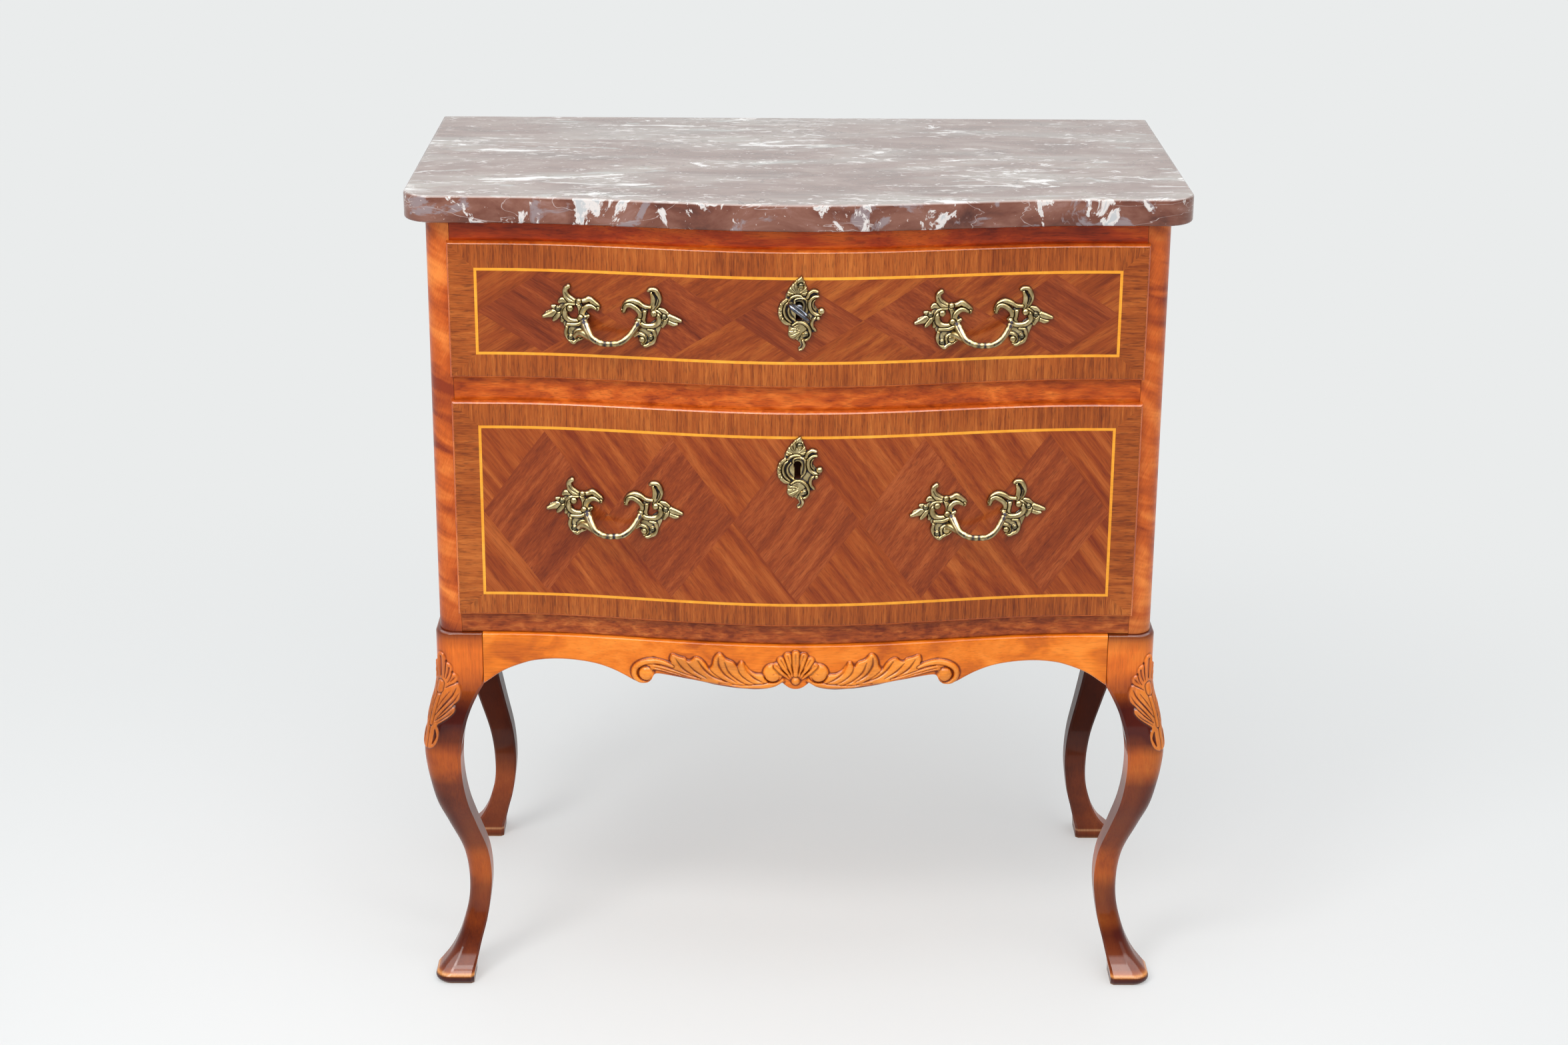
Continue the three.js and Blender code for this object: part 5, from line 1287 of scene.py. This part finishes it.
# The keyhole's plate, seen from its keyhole: outline, leaf, ends of the engraved ribs, and strokes
escutcheon = {
    "outline": [(2.7, 28.2), (7.1, 19.7), (8.5, 14.4), (17.2, 15), (18.9, 8.5), (15.3, 6.2), (14.7, 0.9),
                (17.8, -3.2), (21.8, -2.6), (24, -5.6), (21.8, -9.4), (18.9, -10.3), (19.2, -13.5),
                (15, -15.6), (14.4, -20.3), (17.2, -24.4), (15, -25.9), (10.5, -25.6), (9.9, -30.3),
                (6.5, -33.8), (5.1, -38.5), (2.5, -43.2), (-0.6, -43.5), (-0.3, -40.9), (2, -38.5),
                (1.1, -35.6), (-2.8, -32.6), (-7.6, -29.1), (-9.9, -25), (-9.3, -19.1), (-13.8, -17.4),
                (-17.8, -12.6), (-20.3, -5), (-18.9, 0.9), (-12.7, 6.8), (-12.4, 12.1), (-6.5, 18.5),
                (-0.8, 23.8)],
    "leaf": [(2.6, 29.4), (-3.3, 24.6), (-7.6, 19.8), (-10.8, 15), (-11.8, 11), (-9.6, 8.8), (-2, 9.8),
             (6, 9.8), (8, 11.6), (8, 15.5), (6.6, 20.4), (4.6, 25.3)],
    "leafRibs": [(-11.4, 11.4), (-10.6, 14.4), (-8.2, 18.4), (-5.4, 21.8), (-2, 25), (4.6, 24), (6.8, 19),
                 (7.6, 14)],
    "shellRibs": [(-7.4, -20.6), (-8.4, -24.4), (-7.6, -28.6), (-4.4, -32), (-0.6, -34.4)],
    "scallops": [(-17.6, 3), (-20, -1), (-20.8, -5.4), (-20, -9.8), (-17.4, -14)],
    "strokes": [
        ([(-9.4, 5.4), (-6.8, 8.4), (-2.5, 10), (1.8, 9.4), (3.2, 6.6)], (1.8, 2.6, 2.8, 2.6, 2), 3.2,
         "round"),
        ([(-3.6, 2), (-4, 5.6), (-1, 7.4), (3.9, 7.4), (7, 4.9), (7.8, -1.7), (6.4, -8), (3.6, -12)],
         (1.6, 1.8, 1.8, 2, 2.2, 2.2, 2, 1.6), 2.6, "round"),
        ([(-12, 6), (-16, 1.6), (-17.8, -5.8), (-16.4, -12.4), (-12.4, -16.6), (-8.4, -17.8)],
         (2.4, 3.4, 3.6, 3.6, 3.4, 2), 2.2, "flat"),
        ([(-9.6, 4), (-12.6, 1), (-14, -4.8), (-12, -11), (-7.4, -15.6)], (1.6, 2, 2.2, 2.2, 1.6), 2.8,
         "round"),
        ([(-6.6, 2.4), (-9.4, -1.6), (-9.8, -6), (-7.4, -11), (-3.2, -14.4)], (1.4, 1.8, 2, 2, 1.6), 2.6,
         "round"),
        ([(8, 8), (9.6, 12), (13.6, 14.8), (17.6, 14)], (2.2, 2.8, 3, 2.4), 3, "round"),
        ([(18.4, 9.4), (14.6, 9), (10.8, 5.4), (10.2, 0), (12, -5), (16.6, -8.4), (21, -7.8)],
         (2.2, 2.8, 3, 3, 3, 3, 2.4), 3, "round"),
        ([(15.6, 6.4), (13.4, 3.6), (13.4, -1), (16, -4.4)], (1, 1.4, 1.4, 1), 2, "round"),
        ([(21.4, -5)], (5.2,), 3.6, "round"),
        ([(18.8, -11.6), (15.4, -11.8), (12.8, -15), (13, -20), (16, -23.8)], (2.4, 2.4, 2.6, 2.6, 2.2),
         2.8, "round"),
        ([(18.4, -12)], (3.4,), 3, "round"),
        ([(4, -20), (-1, -24), (-4.4, -27)], (8, 10, 9), 1.7, "flat"),
        ([(-6, -18.6), (-1, -15.8), (5, -17), (10, -22), (10.8, -28), (8, -32.6), (3.4, -33.4)],
         (1.8, 2.4, 2.6, 2.6, 2.4, 2.4, 2), 3, "round"),
        ([(4, -34), (5.4, -38), (3.2, -42), (0.6, -43)], (2.2, 2.6, 2.2, 1.6), 2.4, "round"),
        ([(7, -27.6)], (4.6,), 1.7, "flat"),
        ([(1.7, 20)], (4.6,), 1.9, "flat"),
    ],
}


def makeEscutcheons():
    field = castField(-22, 26, -46, 31)
    x, z = field["x"], field["z"]
    raiseOutline(field, escutcheon["leaf"], 2.2, 2.2)
    drawStrokes(field, escutcheon["strokes"], 0.5, mounts["full"])
    # ribs run to their ends from part of the way out from a root
    for ends, root, start in (("leafRibs", (-1.6, 11), 0.3), ("shellRibs", (5, -23), 0.3),
                              ("scallops", (-10, -5), 0.55)):
        for end in escutcheon[ends]:
            near = [a + start * (b - a) for a, b in zip(root, end)]
            carve(field, [near, end], (0.5, 1.1), 1, "cut")
    # the plate itself: inside its outline, with the keyhole left open and a raised rim round it
    cover = np.maximum(field["cover"], outlineDistance(x, z, escutcheon["outline"]))
    slot = np.minimum(keyhole["slotHalf"] - np.abs(x), np.minimum(z + keyhole["slotLow"], 1 - z))
    hole = np.maximum(keyhole["radius"] - np.hypot(x, z), slot)
    field["cover"] = np.minimum(cover, -hole)
    field["height"] += 0.5 * np.clip(1 - np.abs(hole + 1), 0, 1)
    points, faces, dark = castMesh(field, mounts["base"], 0.85)
    for which in ("upper", "lower"):
        y = mounts["back"] - bow(points[:, 0]) - points[:, 1]
        placed = np.column_stack([points[:, 0], y, points[:, 2] + drawer[which]["key"]])
        piece = makePiece(which + "EscutcheonCast", placed, faces, [finishes["brass"]], 60, {"recess": dark})
        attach(piece, which + "_drawer")
        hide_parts(which + "_escutcheon")


# Nails that hold the brass: domed heads laid by Geometry Nodes, which wants their sizes in metres
nails = {
    "sizes": {"Head Radius": 0.0023, "Head Rise": 0.0017}, "out": 2.5,
    # across and up from the middle of a handle or a keyhole
    "handle": [(-52, 6), (-40.3, -21.5), (49.5, 2.5), (36.5, -18.5)], "escutcheon": [(7, -27.6), (1.7, 20)],
}


def nailTree():
    tree = bpy.data.node_groups.new("nailHeads", "GeometryNodeTree")
    for name, way, kind in (("Places", "INPUT", "Geometry"), ("Head Radius", "INPUT", "Float"),
                            ("Head Rise", "INPUT", "Float"), ("Heads", "OUTPUT", "Geometry")):
        tree.interface.new_socket(name, in_out=way, socket_type="NodeSocket" + kind)
    given = addNode(tree, "NodeGroupInput")
    ball = addNode(tree, "GeometryNodeMeshUVSphere", {"Segments": 24, "Rings": 12, "Radius": 1.0})
    radius, rise = given.outputs["Head Radius"], given.outputs["Head Rise"]
    size = addNode(tree, "CombineXYZ", {}, {"X": radius, "Y": rise, "Z": radius})
    turn = addNode(tree, "GeometryNodeInputNamedAttribute", {"data_type": "FLOAT_VECTOR", "Name": "turn"})
    links = {"Points": given.outputs["Places"], "Instance": ball, "Rotation": turn, "Scale": size}
    heads = addNode(tree, "GeometryNodeInstanceOnPoints", {}, links)
    real = addNode(tree, "GeometryNodeRealizeInstances", {}, {"Geometry": heads})
    brass = {"Material": finishes["nailBrass"]}
    finished = addNode(tree, "GeometryNodeSetMaterial", brass, {"Geometry": real})
    addNode(tree, "NodeGroupOutput", {}, {"Heads": finished})
    return tree


def layNails(which, tree):
    places = [(side * mounts["handleX"] + x, mounts["line"][which] + z)
              for side in (-1, 1) for x, z in nails["handle"]]
    places += [(x, drawer[which]["key"] + z) for x, z in nails["escutcheon"]]
    x, z = np.array(places, float).T
    y = mounts["back"] - bow(x) - nails["out"] + rowShift
    mesh = bpy.data.meshes.new(which + "NailHeads")
    mesh.from_pydata((np.column_stack([x, y, z]) / 1000).tolist(), [], [])
    # each head is turned square to the bow
    turns = np.zeros((len(x), 3))
    slope = chest["bow"] * np.pi / chest["bowHalf"] / 2 * np.sin(np.pi * x / chest["bowHalf"])
    turns[:, 2] = np.arctan(slope)
    mesh.attributes.new("turn", "FLOAT_VECTOR", "POINT").data.foreach_set("vector", turns.ravel())
    piece = bpy.data.objects.new(which + "NailHeads", mesh)
    bpy.context.scene.collection.objects.link(piece)
    step = piece.modifiers.new("nailHeads", "NODES")
    step.node_group = tree
    for item in tree.interface.items_tree:
        if item.name in nails["sizes"]:
            step[item.identifier] = nails["sizes"][item.name]
    made = bpy.data.meshes.new_from_object(piece.evaluated_get(bpy.context.evaluated_depsgraph_get()))
    piece.modifiers.clear()
    piece.data = made
    made.shade_smooth()
    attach(piece, which + "_drawer")


makeHandles()
makeEscutcheons()
heads = nailTree()
for which in ("upper", "lower"):
    layNails(which, heads)
print("handles, escutcheons and nails")

bodyOf = {node: body for body, nodes in frame["record"]["behaviour"]["bodies"].items() for node in nodes}

# Key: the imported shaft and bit, with a forged ring for its bow and a turned collar

key = {
    "bow": -427.3, "half": (11.25, 7.75), "bar": (2.25, 1.9), "fullness": 0.62, "neck": -417.6, "turn": 37.6,
    # depth and radius along the turned collar
    "collar": [(-418.4, 2.2), (-418, 3.4), (-417, 4.1), (-416, 4.1), (-415, 3.4), (-414.4, 2.5)],
}


def makeKey():
    form = bmesh.new()
    form.from_mesh(bpy.data.objects["key"].data)
    bmesh.ops.remove_doubles(form, verts=form.verts, dist=1e-6)
    everything = form.verts[:] + form.edges[:] + form.faces[:]
    bmesh.ops.bisect_plane(form, geom=everything, dist=1e-6, clear_outer=True, plane_no=(0, -1, 0),
                           plane_co=(0, (key["neck"] + rowShift) / 1000, 0))
    bmesh.ops.holes_fill(form, edges=[edge for edge in form.edges if edge.is_boundary])
    form.verts.index_update()
    shaft = np.array([vertex.co[:] for vertex in form.verts]) * 1000 - [0, rowShift, 0]
    parts = [(shaft, [[vertex.index for vertex in face.verts] for face in form.faces])]
    form.free()
    tilt = math.radians(key["turn"])
    along, up = np.array([(math.cos(tilt), 0, -math.sin(tilt)), (math.sin(tilt), 0, math.cos(tilt))])
    across = np.array([0, 1, 0])
    (longHalf, shortHalf), (wide, thick) = key["half"], key["bar"]
    sides = np.linspace(0, 2 * np.pi, 20, endpoint=False)
    rings = []
    for turn in np.linspace(0, 2 * np.pi, 64, endpoint=False):
        # an oval with fuller corners than an ellipse
        cos, sin = [math.copysign(abs(v) ** key["fullness"], v) for v in (math.cos(turn), math.sin(turn))]
        outward = np.array([cos / longHalf, sin / shortHalf])
        outward /= np.linalg.norm(outward)
        outward = outward[0] * along + outward[1] * across
        spine = longHalf * cos * along + shortHalf * sin * across
        rings.append(spine + wide * np.cos(sides)[:, None] * outward + thick * np.sin(sides)[:, None] * up)
    axisZ = drawer["upper"]["key"]
    parts.append(loft(np.array(rings) + [0, key["bow"], axisZ], closed=True))
    collar = [[(r * math.cos(a), y, axisZ + r * math.sin(a)) for a in sides] for y, r in key["collar"]]
    parts.append(loft(np.array(collar)))
    piece = makePiece("keyForged", *joined(parts), [finishes["steel"]], 40)
    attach(piece, bodyOf["key"])
    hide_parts("key")


makeKey()
print("key")

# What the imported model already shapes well: a merged copy with soft edges, or the node itself

dressed = {
    # finish, bevel in millimetres and slot
    "left_side_panel": ("side", 0.5, "birch"), "right_side_panel": ("side", 0.5, "birch"),
    "back_panel": ("pineAcross", 0.4, "inner_wood"), "bottom_board": ("pineAcross", 0.4, "inner_wood"),
    "top_back_rail": ("pineAcross", 0.6, "inner_wood"),
}
# finish of the other nodes by the first of these words in their names
plainFinishes = {"lock": "steel", "pin": "brass", "back": "pineAcross", "bottom": "pineAcross", "": "pine"}


def dress(node, finish, soft, slot):
    mesh = bpy.data.objects[node].data.copy()
    mesh.materials.clear()
    mesh.materials.append(finishes[finish])
    form = bmesh.new()
    form.from_mesh(mesh)
    bmesh.ops.remove_doubles(form, verts=form.verts, dist=1e-6)
    bmesh.ops.dissolve_limit(form, angle_limit=math.radians(1), verts=form.verts, edges=form.edges)
    form.to_mesh(mesh)
    form.free()
    mesh.shade_smooth()
    mesh.set_sharp_from_angle(angle=math.radians(32))
    piece = bpy.data.objects.new(node + "Dressed", mesh)
    bpy.context.scene.collection.objects.link(piece)
    bevel = piece.modifiers.new("softEdges", "BEVEL")
    bevel.width = soft / 1000
    bevel.segments = 2
    bevel.limit_method = "ANGLE"
    bevel.angle_limit = math.radians(40)
    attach(piece, bodyOf[node])
    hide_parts(node)


for node, look in dressed.items():
    dress(node, *look)
for node in frame["nodes"]:
    materials = bpy.data.objects[node].data.materials
    materials.clear()
    materials.append(finishes[next(finish for word, finish in plainFinishes.items() if word in node)])
print("dressed", len(dressed), "pieces")
